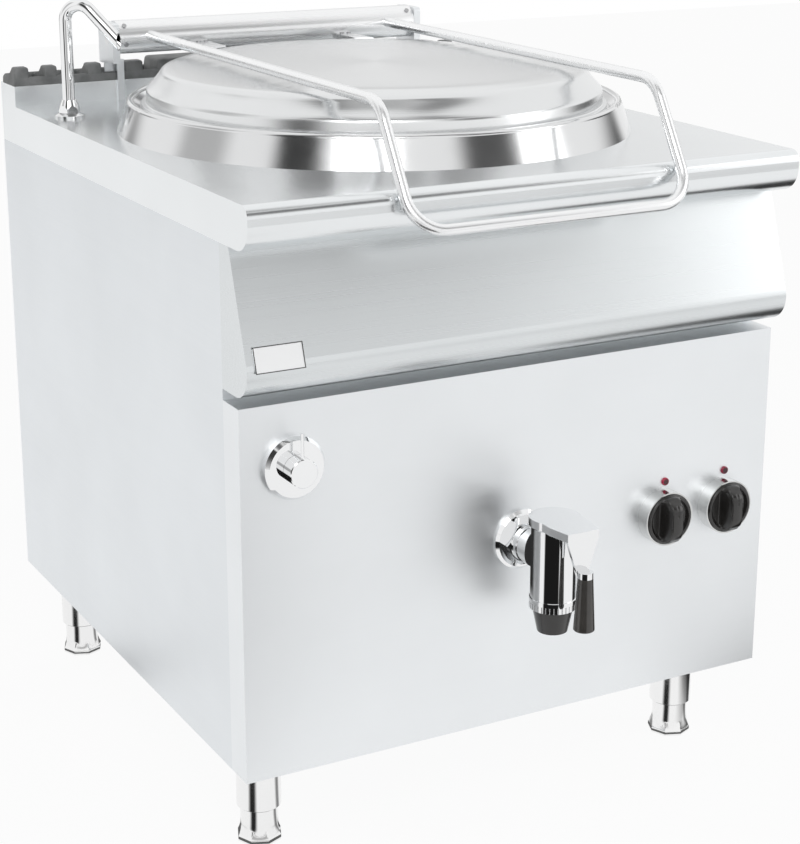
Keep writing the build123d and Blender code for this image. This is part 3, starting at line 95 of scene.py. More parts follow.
def noise(nodes, links, scale, stretch=(1, 1, 1), detail=3.0):
    place = nodes.new("ShaderNodeTexCoord")
    mapping = nodes.new("ShaderNodeMapping")
    mapping.inputs["Scale"].default_value = stretch
    links.new(place.outputs["Object"], mapping.inputs["Vector"])
    made = node(nodes, "ShaderNodeTexNoise", Scale=scale, Detail=detail)
    links.new(mapping.outputs["Vector"], made.inputs["Vector"])
    return made.outputs["Fac"]


def paint(nodes, links, shader, source, stops):
    """Gives the shader its base colour from a ramp over source."""
    links.new(ramp(nodes, links, source, stops), shader.inputs["Base Color"])


def roughen(nodes, links, shader, source, low, high):
    links.new(spread(nodes, links, source, low, high), shader.inputs["Roughness"])


def emboss(nodes, links, shader, source, strength, distance):
    bump = node(nodes, "ShaderNodeBump", Strength=strength, Distance=distance)
    links.new(source, bump.inputs["Height"])
    links.new(bump.outputs["Normal"], shader.inputs["Normal"])


def steel(name, colour, rough, grain, strength, tone=0.02):
    """Bare metal: grain is the scale of the brushing along each axis."""
    mat, nodes, links, shader = new_material(name)
    shader.inputs["Metallic"].default_value = 1.0
    lines = noise(nodes, links, 1.0, grain, 4.0)
    cloud = noise(nodes, links, 5.0)
    dark = tuple(c * (1 - tone) for c in colour)
    light = tuple(min(1.0, c * (1 + tone)) for c in colour)
    paint(nodes, links, shader, cloud, ((0.3, dark), (0.7, light)))
    roughen(nodes, links, shader, lines, rough * 0.8, rough * 1.2)
    emboss(nodes, links, shader, lines, strength, 0.00025)
    return mat


def spun(name, colour, rough, anisotropic):
    """Metal turned on a lathe: fine rings, and highlights drawn out across them."""
    mat, nodes, links, shader = new_material(name)
    shader.inputs["Metallic"].default_value = 1.0
    shader.inputs["Anisotropic"].default_value = anisotropic
    tangent = nodes.new("ShaderNodeTangent")
    tangent.direction_type = "RADIAL"
    tangent.axis = "Z"
    links.new(tangent.outputs["Tangent"], shader.inputs["Tangent"])
    place = nodes.new("ShaderNodeTexCoord")
    rings = nodes.new("ShaderNodeTexWave")
    rings.wave_type = "RINGS"
    rings.rings_direction = "Z"
    rings.inputs["Scale"].default_value = 160.0
    rings.inputs["Distortion"].default_value = 1.5
    rings.inputs["Detail"].default_value = 3.0
    shift = nodes.new("ShaderNodeMapping")
    shift.inputs["Location"].default_value = (0, -POT[1], 0)
    links.new(place.outputs["Object"], shift.inputs["Vector"])
    links.new(shift.outputs["Vector"], rings.inputs["Vector"])
    cloud = noise(nodes, links, 7.0)
    dark = tuple(c * 0.96 for c in colour)
    paint(nodes, links, shader, cloud, ((0.3, dark), (0.7, colour)))
    roughen(nodes, links, shader, cloud, rough * 0.85, rough * 1.15)
    emboss(nodes, links, shader, rings.outputs["Fac"], 0.03, 0.0002)
    return mat


def moulded(name, colour, rough, coat=0.0):
    """Moulded plastic or rubber: a fine matt grain, with paler worn clouds."""
    mat, nodes, links, shader = new_material(name)
    shader.inputs["Coat Weight"].default_value = coat
    fine = noise(nodes, links, 900.0, detail=2.0)
    wear = noise(nodes, links, 40.0, detail=4.0)
    light = tuple(min(1.0, c * 1.35 + 0.004) for c in colour)
    paint(nodes, links, shader, wear, ((0.35, colour), (0.75, light)))
    roughen(nodes, links, shader, wear, rough * 0.85, rough * 1.15)
    emboss(nodes, links, shader, fine, 0.12, 0.0003)
    return mat


def cast(name):
    """Cast iron: pitted all over, in two greys."""
    mat, nodes, links, shader = new_material(name)
    shader.inputs["Metallic"].default_value = 0.35
    pits = noise(nodes, links, 420.0, detail=6.0)
    cloud = noise(nodes, links, 45.0, detail=4.0)
    dark, light = (0.15, 0.155, 0.155), (0.25, 0.255, 0.255)
    paint(nodes, links, shader, cloud, ((0.3, dark), (0.7, light)))
    roughen(nodes, links, shader, pits, 0.42, 0.7)
    emboss(nodes, links, shader, pits, 0.55, 0.0006)
    return mat


def lens(name, node_name, colour):
    """A small lamp lens: its colour shows in a ring at its rim, and its middle is darkened with
    painted shade.
    """
    low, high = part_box(node_name)
    mat, nodes, links, shader = new_material(name)
    shader.inputs["Coat Weight"].default_value = 0.25
    place = nodes.new("ShaderNodeTexCoord")
    flat = nodes.new("ShaderNodeMapping")
    flat.inputs["Scale"].default_value = (1, 0, 1)
    flat.inputs["Location"].default_value = (-(low[0] + high[0]) / 2, 0, -(low[2] + high[2]) / 2)
    links.new(place.outputs["Object"], flat.inputs["Vector"])
    length = nodes.new("ShaderNodeVectorMath")
    length.operation = "LENGTH"
    links.new(flat.outputs["Vector"], length.inputs[0])
    ring = node(nodes, "ShaderNodeMapRange")
    ring.inputs["From Max"].default_value = (high[0] - low[0]) / 2
    links.new(length.outputs["Value"], ring.inputs["Value"])
    # Painted shade: the middle of the lens is its colour darkened.
    painted_dark_middle = tuple(c * 0.12 for c in colour)
    paint(nodes, links, shader, ring.outputs["Result"], ((0.60, painted_dark_middle), (0.92, colour)))
    roughen(nodes, links, shader, noise(nodes, links, 600.0, detail=2.0), 0.22, 0.36)
    return mat


def wool(name):
    """Mineral wool: coarse pale fibres."""
    mat, nodes, links, shader = new_material(name)
    shader.inputs["Roughness"].default_value = 0.95
    fibre = noise(nodes, links, 260.0, (1, 1, 3), 6.0)
    dark, light = (0.46, 0.43, 0.34), (0.74, 0.71, 0.60)
    paint(nodes, links, shader, fibre, ((0.3, dark), (0.7, light)))
    emboss(nodes, links, shader, fibre, 0.8, 0.002)
    return mat


# A steel has its colour, roughness, grain along X, Y and Z, and how deep the grain is.
M = {
    "panel": steel("panel_steel", (0.85, 0.87, 0.885), 0.42, (1.5, 1.5, 900), 0.05),
    # The side steel is the panel steel painted a little darker: painted shade on the side, rear and
    # base panels.
    "side": steel("side_steel_painted_shade", (0.80, 0.825, 0.845), 0.42, (1.5, 1.5, 900), 0.05),
    "fascia": steel("fascia_steel", (0.72, 0.745, 0.755), 0.29, (1.2, 900, 900), 0.05),
    "top": steel("worktop_steel", (0.83, 0.85, 0.86), 0.22, (1.2, 900, 900), 0.05),
    "satin": steel("satin_steel", (0.90, 0.905, 0.91), 0.28, (3, 300, 300), 0.05),
    "spun": spun("spun_steel", (0.78, 0.79, 0.795), 0.21, 0.60),
    "badge": steel("badge_plate", (0.90, 0.905, 0.91), 0.45, (300, 300, 300), 0.03),
    "bezel": steel("bezel_ring", (0.62, 0.625, 0.62), 0.14, (80, 80, 80), 0.04),
    "polished": steel("polished_steel", (0.74, 0.745, 0.75), 0.13, (50, 50, 50), 0.02),
    "chrome": steel("chrome_plate", (0.86, 0.865, 0.87), 0.045, (40, 40, 40), 0.01),
    "leg": steel("leg_steel", (0.88, 0.88, 0.88), 0.12, (60, 60, 600), 0.03),
    "wire": steel("wire_steel", (0.45, 0.45, 0.46), 0.35, (200, 200, 200), 0.1),
    "brass": steel("brass", (0.70, 0.54, 0.26), 0.28, (200, 200, 200), 0.06, tone=0.08),
    "copper": steel("copper_tube", (0.74, 0.42, 0.27), 0.30, (150, 150, 150), 0.05, tone=0.10),
    "cast": cast("cast_iron"),
    "black": moulded("black_plastic", (0.014, 0.013, 0.012), 0.24, coat=0.3),
    "grip": moulded("grip_plastic", (0.034, 0.031, 0.028), 0.22, coat=0.4),
    "red": lens("lamp_lens_red", "heating_lamp", (0.46, 0.006, 0.05)),
    "dark_red": lens("lamp_lens_dark", "power_lamp", (0.30, 0.006, 0.04)),
    # A dark matt strip for painted shadow: the line in each front panel groove and the rim round
    # the badge.
    "shadow_line": moulded("panel_shadow_line", (0.05, 0.05, 0.05), 0.6),
    "wool": wool("mineral_wool"),
}
# Which CAD nodes get which material.
FINISH = {
    "top": ("worktop", "rear_upstand"),
    # These panels take the darker side steel, with its painted shade.
    "side": ("left_side_panel", "right_side_panel", "rear_panel", "base_tray"),
    "panel": ("front_panel", "hinge_bracket_left", "hinge_bracket_right"),
    "fascia": ("control_fascia", "front_rail", "jacket_shell"),
    "spun": ("lid_shell", "lid_inner_skin"),
    "polished": ("collar", "inner_vessel", "spout_flange", "drain_pipe", "drain_strainer"),
    "satin": ("hinge_tube", "lid_straps", "hinge_shaft", "handle_loop"),
    "badge": ("badge_plate",),
    "bezel": ("knob_bezels",),
    "chrome": ("spout_nut", "spout_tube", "water_rosette", "water_control", "tap_flange",
               "tap_union_nut", "tap_body", "tap_knurled_ring", "tap_lever"),
    "leg": ("leg_tubes", "foot_front_left", "foot_front_right", "foot_rear_left",
            "foot_rear_right"),
    "cast": ("flue_grille",),
    "wire": ("balance_springs", "lid_screws", "heating_elements"),
    "brass": ("mixer_valve", "tap_plug", "safety_valve", "water_inlets", "hinge_bushes"),
    "copper": ("water_pipes",),
    "black": ("tap_nozzle", "thermostat_knob", "power_knob", "thermostat_body",
              "power_switch_body", "contactor", "cable_gland"),
    "grip": ("tap_grip",),
    "red": ("heating_lamp",),
    "dark_red": ("power_lamp",),
    "wool": ("insulation_blanket",),
}
for finish, names in FINISH.items():
    for name in names:
        data = NODES[name].data
        data.materials.clear()
        data.materials.append(M[finish])
        for face in data.polygons:
            face.use_smooth = True
        data.set_sharp_from_angle(angle=radians(SHARP_CAD))


# ------------------------------------------------------------------ mesh helpers
def piece(name, verts, faces, mat, body, sharp=SHARP_PIECE):
    """Makes a piece that rides on body. Edges over sharp degrees stay sharp, or none if it is 0."""
    data = bpy.data.meshes.new(name)
    data.from_pydata(verts, [], faces)
    data.materials.append(mat)
    bm = bmesh.new()
    bm.from_mesh(data)
    bmesh.ops.recalc_face_normals(bm, faces=bm.faces)
    bm.to_mesh(data)
    bm.free()
    for face in data.polygons:
        face.use_smooth = True
    if sharp:
        data.set_sharp_from_angle(angle=radians(sharp))
    made = bpy.data.objects.new(name, data)
    bpy.context.scene.collection.objects.link(made)
    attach(made, body)
    return made


def circle(turns):
    """Cosine and sine of each of so many angles, once round."""
    return [(cos(2 * pi * k / turns), sin(2 * pi * k / turns)) for k in range(turns)]


def skin(first, rings, turns):
    """Faces between rings of so many points each, which start at point first."""
    faces = []
    for i in range(rings - 1):
        low, high = first + i * turns, first + (i + 1) * turns
        for k in range(turns):
            n = (k + 1) % turns
            faces.append((low + k, low + n, high + n, high + k))
    return faces


def cap(first, turns, tip):
    """Faces from the ring that starts at point first to the point tip."""
    return [(first + k, first + (k + 1) % turns, tip) for k in range(turns)]


def rounded(name, width, segments=3):
    """Gives a CAD node's folded edges their small radius."""
    flat = NODES[name].modifiers.new("flat", "DECIMATE")
    flat.decimate_type = "DISSOLVE"
    flat.angle_limit = radians(0.5)
    bevel = NODES[name].modifiers.new("edge", "BEVEL")
    bevel.width = width
    bevel.segments = segments
    bevel.limit_method = "ANGLE"
    bevel.angle_limit = radians(40)
    bevel.use_clamp_overlap = False


def smoothstep(a, b, v):
    """Goes smoothly from 0 at a to 1 at b."""
    t = min(1.0, max(0.0, (v - a) / (b - a)))
    return t * t * (3 - 2 * t)


for folded in ("front_panel", "left_side_panel", "right_side_panel"):
    rounded(folded, 0.0011)
rounded("tap_lever", 0.0009)
rounded("leg_tubes", 0.0022, 4)


# ------------------------------------------------------------------ flue grille
def block(bm, x, widths, profile, radius):
    """A cast block: a profile in (y, z) across X, of one width at its foot and one at its crown."""
    low, high = min(z for _, z in profile), max(z for _, z in profile)
    sides = []
    for sign in (-1, 1):
        ring = []
        for y, z in profile:
            half = (widths[0] + (widths[1] - widths[0]) * (z - low) / (high - low)) / 2
            ring.append(bm.verts.new((x + sign * half, y, z)))
        sides.append(ring)
    count = len(profile)
    faces = [bm.faces.new(sides[0]), bm.faces.new(list(reversed(sides[1])))]
    for i in range(count):
        n = (i + 1) % count
        faces.append(bm.faces.new((sides[0][n], sides[0][i], sides[1][i], sides[1][n])))
    # All edges but those in the plane of its foot, each once.
    edges = list(dict.fromkeys(
        e for f in faces for e in f.edges
        if min(v.co.z for v in e.verts) > low + 1e-5 or e.verts[0].co.z != e.verts[1].co.z
    ))
    bmesh.ops.bevel(bm, geom=edges, offset=radius, segments=4, profile=0.5,
                    affect="EDGES", clamp_overlap=True)


def in_order(data):
    """A mesh's points and faces in one fixed order, because a bevel's order differs by run."""
    points = [tuple(v.co) for v in data.vertices]
    order = sorted(range(len(points)), key=lambda index: points[index])
    place = {old: new for new, old in enumerate(order)}
    faces = sorted(tuple(place[v] for v in face.vertices) for face in data.polygons)
    return [points[index] for index in order], faces


RAIL_WIDE, RAIL_HIGH = 0.007, 0.0125
LUGS = ((0.342, 0.022), (0.273, 0.024), (0.2095, 0.031))      # distance from the middle, width
END_LUG = 0.023                                              # width of the lug at each end


def make_grille():
    """The cast grille: two rails, a row of lugs on each side and a wide hood in the middle."""
    low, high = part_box("flue_grille")
    y0, y1, z0, z1 = low[1], high[1], low[2], high[2]
    bm = bmesh.new()
    length = 2 * high[0]
    for y in (y0, y1 - RAIL_WIDE):
        rail = ((y, z0), (y, z0 + RAIL_HIGH), (y + RAIL_WIDE, z0 + RAIL_HIGH), (y + RAIL_WIDE, z0))
        block(bm, 0, (length, length - 0.004), rail, 0.003)
    lug = ((y0, z0), (y0 + 0.001, z1), (y0 + 0.021, z1),
           (y0 + 0.024, z0 + 0.013), (y1, z0 + 0.011), (y1, z0))
    for x, width in LUGS + ((high[0] - END_LUG / 2, END_LUG),):
        for sign in (-1, 1):
            block(bm, sign * x, (width + 0.001, width - 0.002), lug, 0.0036)
    hood = ((y0, z0), (y0 + 0.001, z1), (y1 - 0.002, z1), (y1, z0))
    block(bm, 0, (0.350, 0.341), hood, 0.0045)
    data = bpy.data.meshes.new("grille_casting")
    bm.to_mesh(data)
    bm.free()
    verts, faces = in_order(data)
    made = piece("grille_casting", verts, faces, M["cast"], "cabinet", sharp=50)
    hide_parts("flue_grille")


make_grille()


# ------------------------------------------------------------------ painted shadow line beside the front panel
SHADOW_LINE_X = 0.3990          # from the middle to the flat back of the line
SHADOW_LINE_PROUD, SHADOW_LINE_HALF = 0.0008, 0.0012
SHADOW_LINE_GAP = 0.001         # how far the line stops short of the front panel's top and foot


def make_shadow_line(name, side):
    """A dark strip in the groove where the front panel meets a side panel: a painted shadow line
    along the gap.
    """
    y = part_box("left_side_panel")[0][1]
    low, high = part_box("front_panel")
    verts = []
    for z in (low[2] + SHADOW_LINE_GAP, high[2] - SHADOW_LINE_GAP):
        for k in range(9):
            a = pi * k / 8
            verts.append((side * (SHADOW_LINE_X + SHADOW_LINE_PROUD * sin(a)), y + SHADOW_LINE_HALF * cos(a), z))
    faces = [(k, k + 1, k + 10, k + 9) for k in range(8)]
    faces += [tuple(range(9)), tuple(range(17, 8, -1)), (8, 0, 9, 17)]
    piece(name, verts, faces, M["shadow_line"], "cabinet")


make_shadow_line("panel_shadow_line_left", -1)
make_shadow_line("panel_shadow_line_right", 1)


# ------------------------------------------------------------------ badge
RIM_WIDTH, RIM_PROUD, RIM_THICK = 0.0011, 0.0002, 0.0003


def make_badge_shadow_rim():
    """A fine dark rim around the bare plate, which lies flat on the sloping fascia: a painted
    shadow along the plate's edge.
    """
    data = NODES["badge_plate"].data
    points = [v.co for v in data.vertices]
    left, right = min(p.x for p in points), max(p.x for p in points)
    top, foot = max(p.z for p in points), min(p.z for p in points)
    front_top = min(p.y for p in points if p.z > top - 0.0006)
    front_foot = min(p.y for p in points if p.z < foot + 0.0012)

    def corners(inset):
        """The plate's four corners, each moved in by inset."""
        share = inset / (top - foot)
        found = []
        for x, up in ((left + inset, share), (right - inset, share),
                      (right - inset, 1 - share), (left + inset, 1 - share)):
            y = front_foot + (front_top - front_foot) * up - RIM_PROUD
            found.append((x, y, foot + (top - foot) * up))
        return found

    verts = corners(0) + corners(RIM_WIDTH)
    rim = piece("badge_shadow_rim", verts, skin(0, 2, 4), M["shadow_line"], "cabinet")
    thick = rim.modifiers.new("sheet", "SOLIDIFY")
    thick.thickness = RIM_THICK
    thick.offset = 0


make_badge_shadow_rim()


# ------------------------------------------------------------------ feet
# Height, radius to a flat, and the share of the octagon in the round. The last two are the bore.
FOOT_SECTIONS = (
    (0.0000, 0.0278, 1.0), (0.0008, 0.0285, 1.0), (0.0068, 0.0285, 1.0), (0.0080, 0.0280, 1.0),
    (0.0100, 0.0272, 0.95), (0.0140, 0.0262, 0.80), (0.0180, 0.0255, 0.45),
    (0.0205, 0.0253, 0.12), (0.0225, 0.0252, 0), (0.0420, 0.0252, 0), (0.0520, 0.0256, 0),
    (0.1000, 0.0256, 0), (0.1000, 0.0210, 0), (0.0080, 0.0210, 0),
)
CORNERS_FROM = 0.060     # a CAD foot wider than this along X has its corners there, not its flats
FOOT_TURNS = 96


def octagon(a, flat, phase):
    """Distance from the middle to an octagon's side at angle a."""
    step = pi / 4
    return flat / cos((a - phase + step / 2) % step - step / 2)


def make_foot(place):
    """A screw foot with a blind bore, flared from round to eight-sided at the floor."""
    low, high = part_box("foot_" + place)
    x, y = (low[0] + high[0]) / 2, (low[1] + high[1]) / 2
    phase = pi / 8 if high[0] - low[0] > CORNERS_FROM else 0
    turns = FOOT_TURNS
    verts = [(x, y, 0)]
    for z, flat, share in FOOT_SECTIONS:
        for k, (across, along) in enumerate(circle(turns)):
            r = flat + (octagon(2 * pi * k / turns, flat, phase) - flat) * share
            verts.append((x + r * across, y + r * along, z))
    verts.append((x, y, FOOT_SECTIONS[-1][0]))
    faces = [(0, 1 + (k + 1) % turns, 1 + k) for k in range(turns)]
    faces += skin(1, len(FOOT_SECTIONS), turns)
    faces += cap(1 + (len(FOOT_SECTIONS) - 1) * turns, turns, len(verts) - 1)
    made = piece("foot_bell_" + place, verts, faces, M["leg"], place + "_foot", sharp=30)
    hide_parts("foot_" + place)


for foot_place in ("front_left", "front_right", "rear_left", "rear_right"):
    make_foot(foot_place)


# ------------------------------------------------------------------ control knobs
KNOB_RIM = 0.0240        # how far the knob's rim stands off the panel
KNOB_DISH = 0.0052       # how deep its face lies inside the rim
KNOB_TOP = 0.0430        # how far the crown of its grip bar stands off the panel
BAR_HALF = 0.0078        # half width of the bar's crown
BAR_DROP = 0.0012        # how far the crown falls to its sides
BAR_REACH = 0.0335       # from the middle to where the bar runs out
MARK_DEPTH = 0.0008      # the pointer groove in the bar
KNOB_WALL = (            # radius, and distance off the panel
    (0.0060, 0.0030), (0.0345, 0.0030), (0.0353, 0.0036), (0.0353, 0.0212), (0.0350, 0.0226),
    (0.0342, 0.0236), (0.0332, KNOB_RIM),
)
KNOB_RADII = [0.0325 - 0.0007 * i for i in range(46)]
KNOB_TURNS = 144


def knob_height(u, w, r):
    """How far the face stands off the panel: a dished disc with a rounded grip bar."""
    dish = KNOB_RIM - KNOB_DISH * (1 - smoothstep(0.0270, 0.0315, r))
    across = 1 - smoothstep(BAR_HALF, 0.0150, abs(u))
    along = max(0.0, 1 - (abs(w) / BAR_REACH) ** 5)
    bar = KNOB_TOP - BAR_DROP * min(1.0, abs(u) / BAR_HALF) ** 2
    mark = 1 - smoothstep(0.0006, 0.0014, abs(u))
    mark *= smoothstep(0.007, 0.009, w) * (1 - smoothstep(0.023, 0.025, w))
    return dish + (bar - dish) * across * along - MARK_DEPTH * mark


def make_knob(name, x):
    turns = KNOB_TURNS
    round_once = circle(turns)
    verts = []
    for r, off in KNOB_WALL:
        verts += [(x + r * u, PANEL_Y - off, KNOB_Z + r * w) for u, w in round_once]
    for r in KNOB_RADII:
        for u, w in round_once:
            off = knob_height(r * u, r * w, r)
            verts.append((x + r * u, PANEL_Y - off, KNOB_Z + r * w))
    verts.append((x, PANEL_Y - KNOB_TOP, KNOB_Z))
    rings = len(KNOB_WALL) + len(KNOB_RADII)
    faces = [tuple(range(turns))]
    faces += skin(0, rings, turns)
    faces += cap((rings - 1) * turns, turns, len(verts) - 1)
    made = piece(name + "_knob_cap", verts, faces, M["black"], name + "_dial",
                 sharp=45)
    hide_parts(name + "_knob")


for knob_name, knob_x in KNOBS:
    make_knob(knob_name, knob_x)


# ------------------------------------------------------------------ lid
LID_FLAT = 0.9750        # height of the lid's flat top
LID_CROWN_FROM = 0.9745  # the raised strip lies only on sections higher than this
LID_STRIP = 0.197        # half width of the strip
LID_CREASE = 0.010       # half width of the soft crease along it
LID_RISE = 0.0044        # how high it stands over the flat
LID_SHEET = 0.0018
LID_EDGE = (             # radius and height, from the skirt up to the flat
    (0.3270, 0.9223), (0.3270, 0.9268), (0.3262, 0.9273), (0.3222, 0.9273), (0.3207, 0.9280),
    (0.3204, 0.9300), (0.3204, 0.9425), (0.3196, 0.9458), (0.3175, 0.9486), (0.3140, 0.9520),
    (0.3090, 0.9570), (0.3045, 0.9622), (0.3012, 0.9668), (0.2992, 0.9699), (0.2965, 0.9722),
    (0.2930, 0.9738), (0.2880, 0.9746), (0.2800, 0.9749),
)
LID_FLAT_RADII = (0.27, 0.26, 0.245, 0.225, 0.2, 0.17, 0.135, 0.095, 0.05, 0.015)
LID_TURNS = 192


def lid_height(x, r):
    """Height of the lid's crown over its flat: a raised middle strip with soft creases."""
    side = 1 - smoothstep(LID_STRIP - LID_CREASE, LID_STRIP + LID_CREASE, abs(x))
    edge = 1 - smoothstep(0.262, 0.293, r)
    return LID_RISE * side * edge


def make_lid():
    """The lid's spun shell, with the pressed strip that runs from its hinge to its front."""
    sections = LID_EDGE + tuple((r, LID_FLAT) for r in LID_FLAT_RADII)
    turns = LID_TURNS
    verts = []
    for r, z in sections:
        for u, w in circle(turns):
            rise = lid_height(r * u, r) if z > LID_CROWN_FROM else 0.0
            verts.append((r * u, POT[1] + r * w, z + rise))
    verts.append((0, POT[1], LID_FLAT + LID_RISE))
    faces = skin(0, len(sections), turns)
    faces += cap((len(sections) - 1) * turns, turns, len(verts) - 1)
    lid = piece("lid_cover", verts, faces, M["spun"], "lid", sharp=0)
    thick = lid.modifiers.new("sheet", "SOLIDIFY")
    thick.thickness = LID_SHEET
    thick.offset = -1
    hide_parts("lid_shell")


make_lid()


# ------------------------------------------------------------------ studio
world = bpy.data.worlds.new("studio")
bpy.context.scene.world = world
world.use_nodes = True
wn, wl = world.node_tree.nodes, world.node_tree.links
background = wn["Background"]
light_path = wn.new("ShaderNodeLightPath")


def either(nodes, links, first, second):
    """The larger of two values."""
    made = node(nodes, "ShaderNodeMath", operation="MAXIMUM")
    links.new(first, made.inputs[0])
    links.new(second, made.inputs[1])
    return made.outputs[0]


# White where it is seen or reflected, and dimmer as a light on the object.
seen = either(wn, wl, light_path.outputs["Is Camera Ray"], light_path.outputs["Is Glossy Ray"])
seen = either(wn, wl, seen, light_path.outputs["Is Transmission Ray"])
wl.new(spread(wn, wl, seen, 0.55, 1.0), background.inputs["Strength"])
background.inputs["Color"].default_value = (1, 1, 1, 1)


def area_light(name, place, aim, size, power):
    data = bpy.data.lights.new(name, "AREA")
    data.shape = "RECTANGLE"
    data.size, data.size_y = size
    data.energy = power
    lamp = bpy.data.objects.new(name, data)
    bpy.context.scene.collection.objects.link(lamp)
    lamp.location = place
    direction = bpy.data.objects.new(name + "_aim", None)
    direction.location = aim
    bpy.context.scene.collection.objects.link(direction)
    track = lamp.constraints.new("TRACK_TO")
    track.target = direction
    track.track_axis = "TRACK_NEGATIVE_Z"
    track.up_axis = "UP_Y"


area_light("key", place=(-1.6, -2.6, 2.9), aim=(0, 0, 0.6), size=(1.6, 1.6), power=26)
area_light("fill", place=(2.8, -2.2, 1.8), aim=(0, 0, 0.5), size=(1.4, 2.2), power=12)


CARD_GRID = (48, 16)     # faces of a card around its centre, and from its start to its end


def card(name, centre, azimuths, start, end, tone, soft=(0.3, 0.3)):
    """A grey card that shows only in reflections, faded at its edges.

    It turns about centre from one azimuth to the other, in degrees from +X, and runs between two
    (radius, height) points. tone is its grey, and soft the share of each side that fades.
    """
    across, up = CARD_GRID
    verts, faces, fade = [], [], []
    for i in range(across + 1):
        u = i / across
        a = radians(azimuths[0] + (azimuths[1] - azimuths[0]) * u)
        for k in range(up + 1):
            v = k / up
            r = start[0] + (end[0] - start[0]) * v
            z = start[1] + (end[1] - start[1]) * v
            verts.append((centre[0] + r * cos(a), centre[1] + r * sin(a), z))
            sides = smoothstep(0, soft[0], min(u, 1 - u))
            fade.append(sides * smoothstep(0, soft[1], min(v, 1 - v)))
    for i in range(across):
        for k in range(up):
            n = i * (up + 1) + k
            faces.append((n, n + up + 1, n + up + 2, n + 1))
    data = bpy.data.meshes.new(name)
    data.from_pydata(verts, [], faces)
    layer = data.attributes.new("fade", "FLOAT", "POINT")
    layer.data.foreach_set("value", fade)
    mat, nodes, links, shader = new_material(name)
    nodes.remove(shader)
    flat = nodes.new("ShaderNodeEmission")
    flat.inputs["Color"].default_value = (tone, tone, tone, 1)
    clear = nodes.new("ShaderNodeBsdfTransparent")
    mix = nodes.new("ShaderNodeMixShader")
    weight = nodes.new("ShaderNodeAttribute")
    weight.attribute_name = "fade"
    links.new(weight.outputs["Fac"], mix.inputs["Fac"])
    links.new(clear.outputs[0], mix.inputs[1])
    links.new(flat.outputs[0], mix.inputs[2])
    links.new(mix.outputs[0], nodes["Material Output"].inputs["Surface"])
    data.materials.append(mat)
    made = bpy.data.objects.new(name, data)
    bpy.context.scene.collection.objects.link(made)
    made.visible_camera = False
    made.visible_diffuse = False
    made.visible_shadow = False
    made.visible_transmission = False


FLOOR_HALF = 8.0
FLOOR_Z = -0.0005        # just under the feet, so that the two don't lie in one plane


def floor():
    """A plain floor that takes the object's shadow, nearly white where seen or reflected."""
    mat, nodes, links, shader = new_material("studio_floor")
    shader.inputs["Base Color"].default_value = (0.9, 0.9, 0.9, 1)
    shader.inputs["Roughness"].default_value = 0.9
    path = nodes.new("ShaderNodeLightPath")
    white = nodes.new("ShaderNodeEmission")
    mix = nodes.new("ShaderNodeMixShader")
    seen = spread(nodes, links, path.outputs["Is Camera Ray"], 0.0, 0.93)
    mirrored = spread(nodes, links, path.outputs["Is Glossy Ray"], 0.0, 0.94)
    links.new(either(nodes, links, seen, mirrored), mix.inputs["Fac"])
    links.new(shader.outputs[0], mix.inputs[1])
    links.new(white.outputs[0], mix.inputs[2])
    links.new(mix.outputs[0], nodes["Material Output"].inputs["Surface"])
    data = bpy.data.meshes.new("studio_floor")
    corners = ((-1, -1), (1, -1), (1, 1), (-1, 1))
    verts = [(FLOOR_HALF * x, FLOOR_HALF * y, FLOOR_Z) for x, y in corners]
    data.from_pydata(verts, [], [(0, 1, 2, 3)])
    data.materials.append(mat)
    made = bpy.data.objects.new("studio_floor", data)
    bpy.context.scene.collection.objects.link(made)


floor()
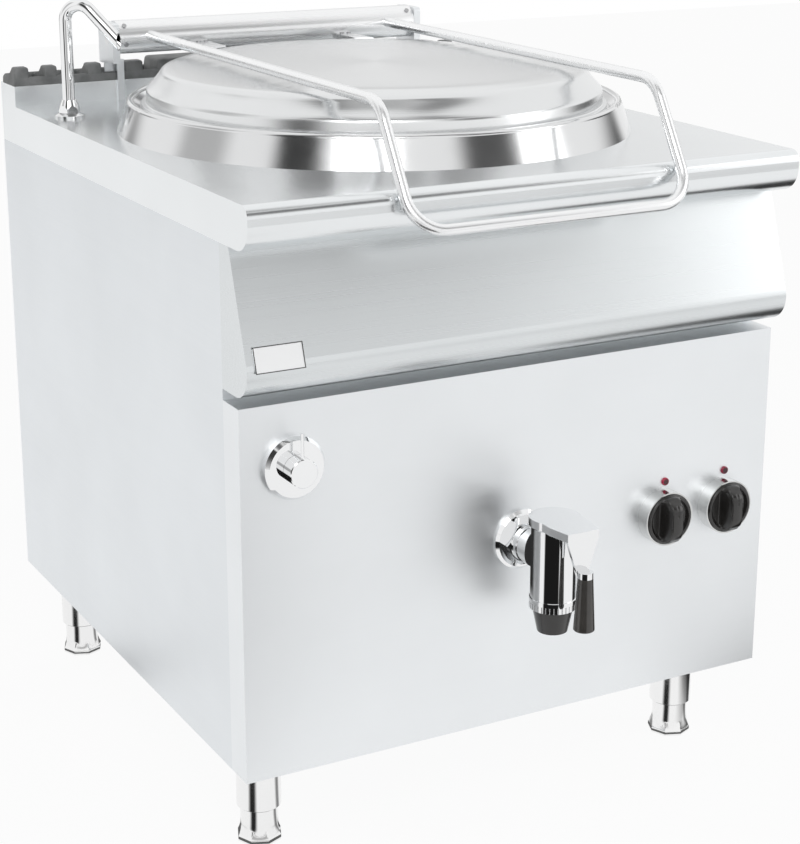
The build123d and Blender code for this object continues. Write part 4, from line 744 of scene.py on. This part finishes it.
# Cards around the whole object: name, centre, azimuths, start, end, tone, soft.
card("flag_left", MIDDLE, (-168, -138), (4.0, -0.2), (4.0, 4.6), 0.05, (0.3, 0.12))
card("flag_front_low", MIDDLE, (-136, -96), (4.2, 0.05), (4.2, 1.0), 0.45, (0.3, 0.3))
card("flag_left_high", MIDDLE, (-172, -134), (4.0, 4.2), (1.4, 6.8), 0.15)
card("flag_front_high", MIDDLE, (-142, -84), (4.3, 4.0), (1.5, 7.3), 0.50, (0.2, 0.3))
card("flag_right", MIDDLE, (-84, -46), (4.0, 1.7), (4.0, 4.8), 0.10)
card("flag_right_high", MIDDLE, (-90, -44), (4.0, 4.4), (1.4, 7.0), 0.20)
card("flag_back", MIDDLE, (36, 88), (7.0, 1.4), (7.0, 4.4), 0.72, (0.4, 0.4))
card("flag_side", MIDDLE, (142, 178), (4.0, 0.9), (4.0, 5.0), 0.55)
card("flag_far_side", MIDDLE, (100, 132), (4.5, 0.35), (4.5, 1.6), 0.35)
card("flag_far_right", MIDDLE, (-14, 26), (4.5, -0.1), (4.5, 1.8), 0.10)
card("flag_far_floor", MIDDLE, (-104, -14), (3.8, 0.002), (6.9, 0.002), 0.40, (0.4, 0.45))
# Two on the floor and one close behind the tap, for the tap's own reflections.
card("flag_tap", TAP, (-172, -93), (0.50, 0.003), (1.65, 0.003), 0.012, (0.07, 0.14))
card("flag_tap_right", TAP, (-16, 24), (0.35, 0.003), (2.0, 0.003), 0.03, (0.12, 0.10))
card("flag_tap_back", TAP, (92, 170), (0.040, 0.335), (0.040, 0.470), 0.03, (0.25, 0.2))
# The same on the floor around each leg.
for index, leg in enumerate(LEGS):
    at = str(index)
    card("flag_leg_" + at, leg, (-168, -120), (0.03, 0.002), (0.26, 0.002), 0.02, (0.35, 0.1))
    card("flag_leg_right_" + at, leg, (-34, 4), (0.03, 0.002), (0.26, 0.002), 0.25, (0.4, 0.1))
    card("flag_leg_foot_" + at, leg, (0, 360), (0.001, 0.003), (0.062, 0.003), 0.12, (0.001, 0.25))


# ------------------------------------------------------------------ camera
# Place, turn, lens and shift come from the perspective fit of the photograph.
camera_data = bpy.data.cameras.new("camera")
camera_data.sensor_fit = "HORIZONTAL"
camera_data.sensor_width = 36
camera_data.lens = 89.48
camera_data.shift_x = -0.0242
camera_data.shift_y = -0.0414
camera_data.clip_end = 60
camera = bpy.data.objects.new("camera", camera_data)
bpy.context.scene.collection.objects.link(camera)
camera.location = (-1.30827, -2.42364, 1.34773)
camera.rotation_euler = (radians(73.172), radians(-0.243), radians(-29.002))
bpy.context.scene.camera = camera
bpy.context.scene.view_settings.view_transform = "Standard"
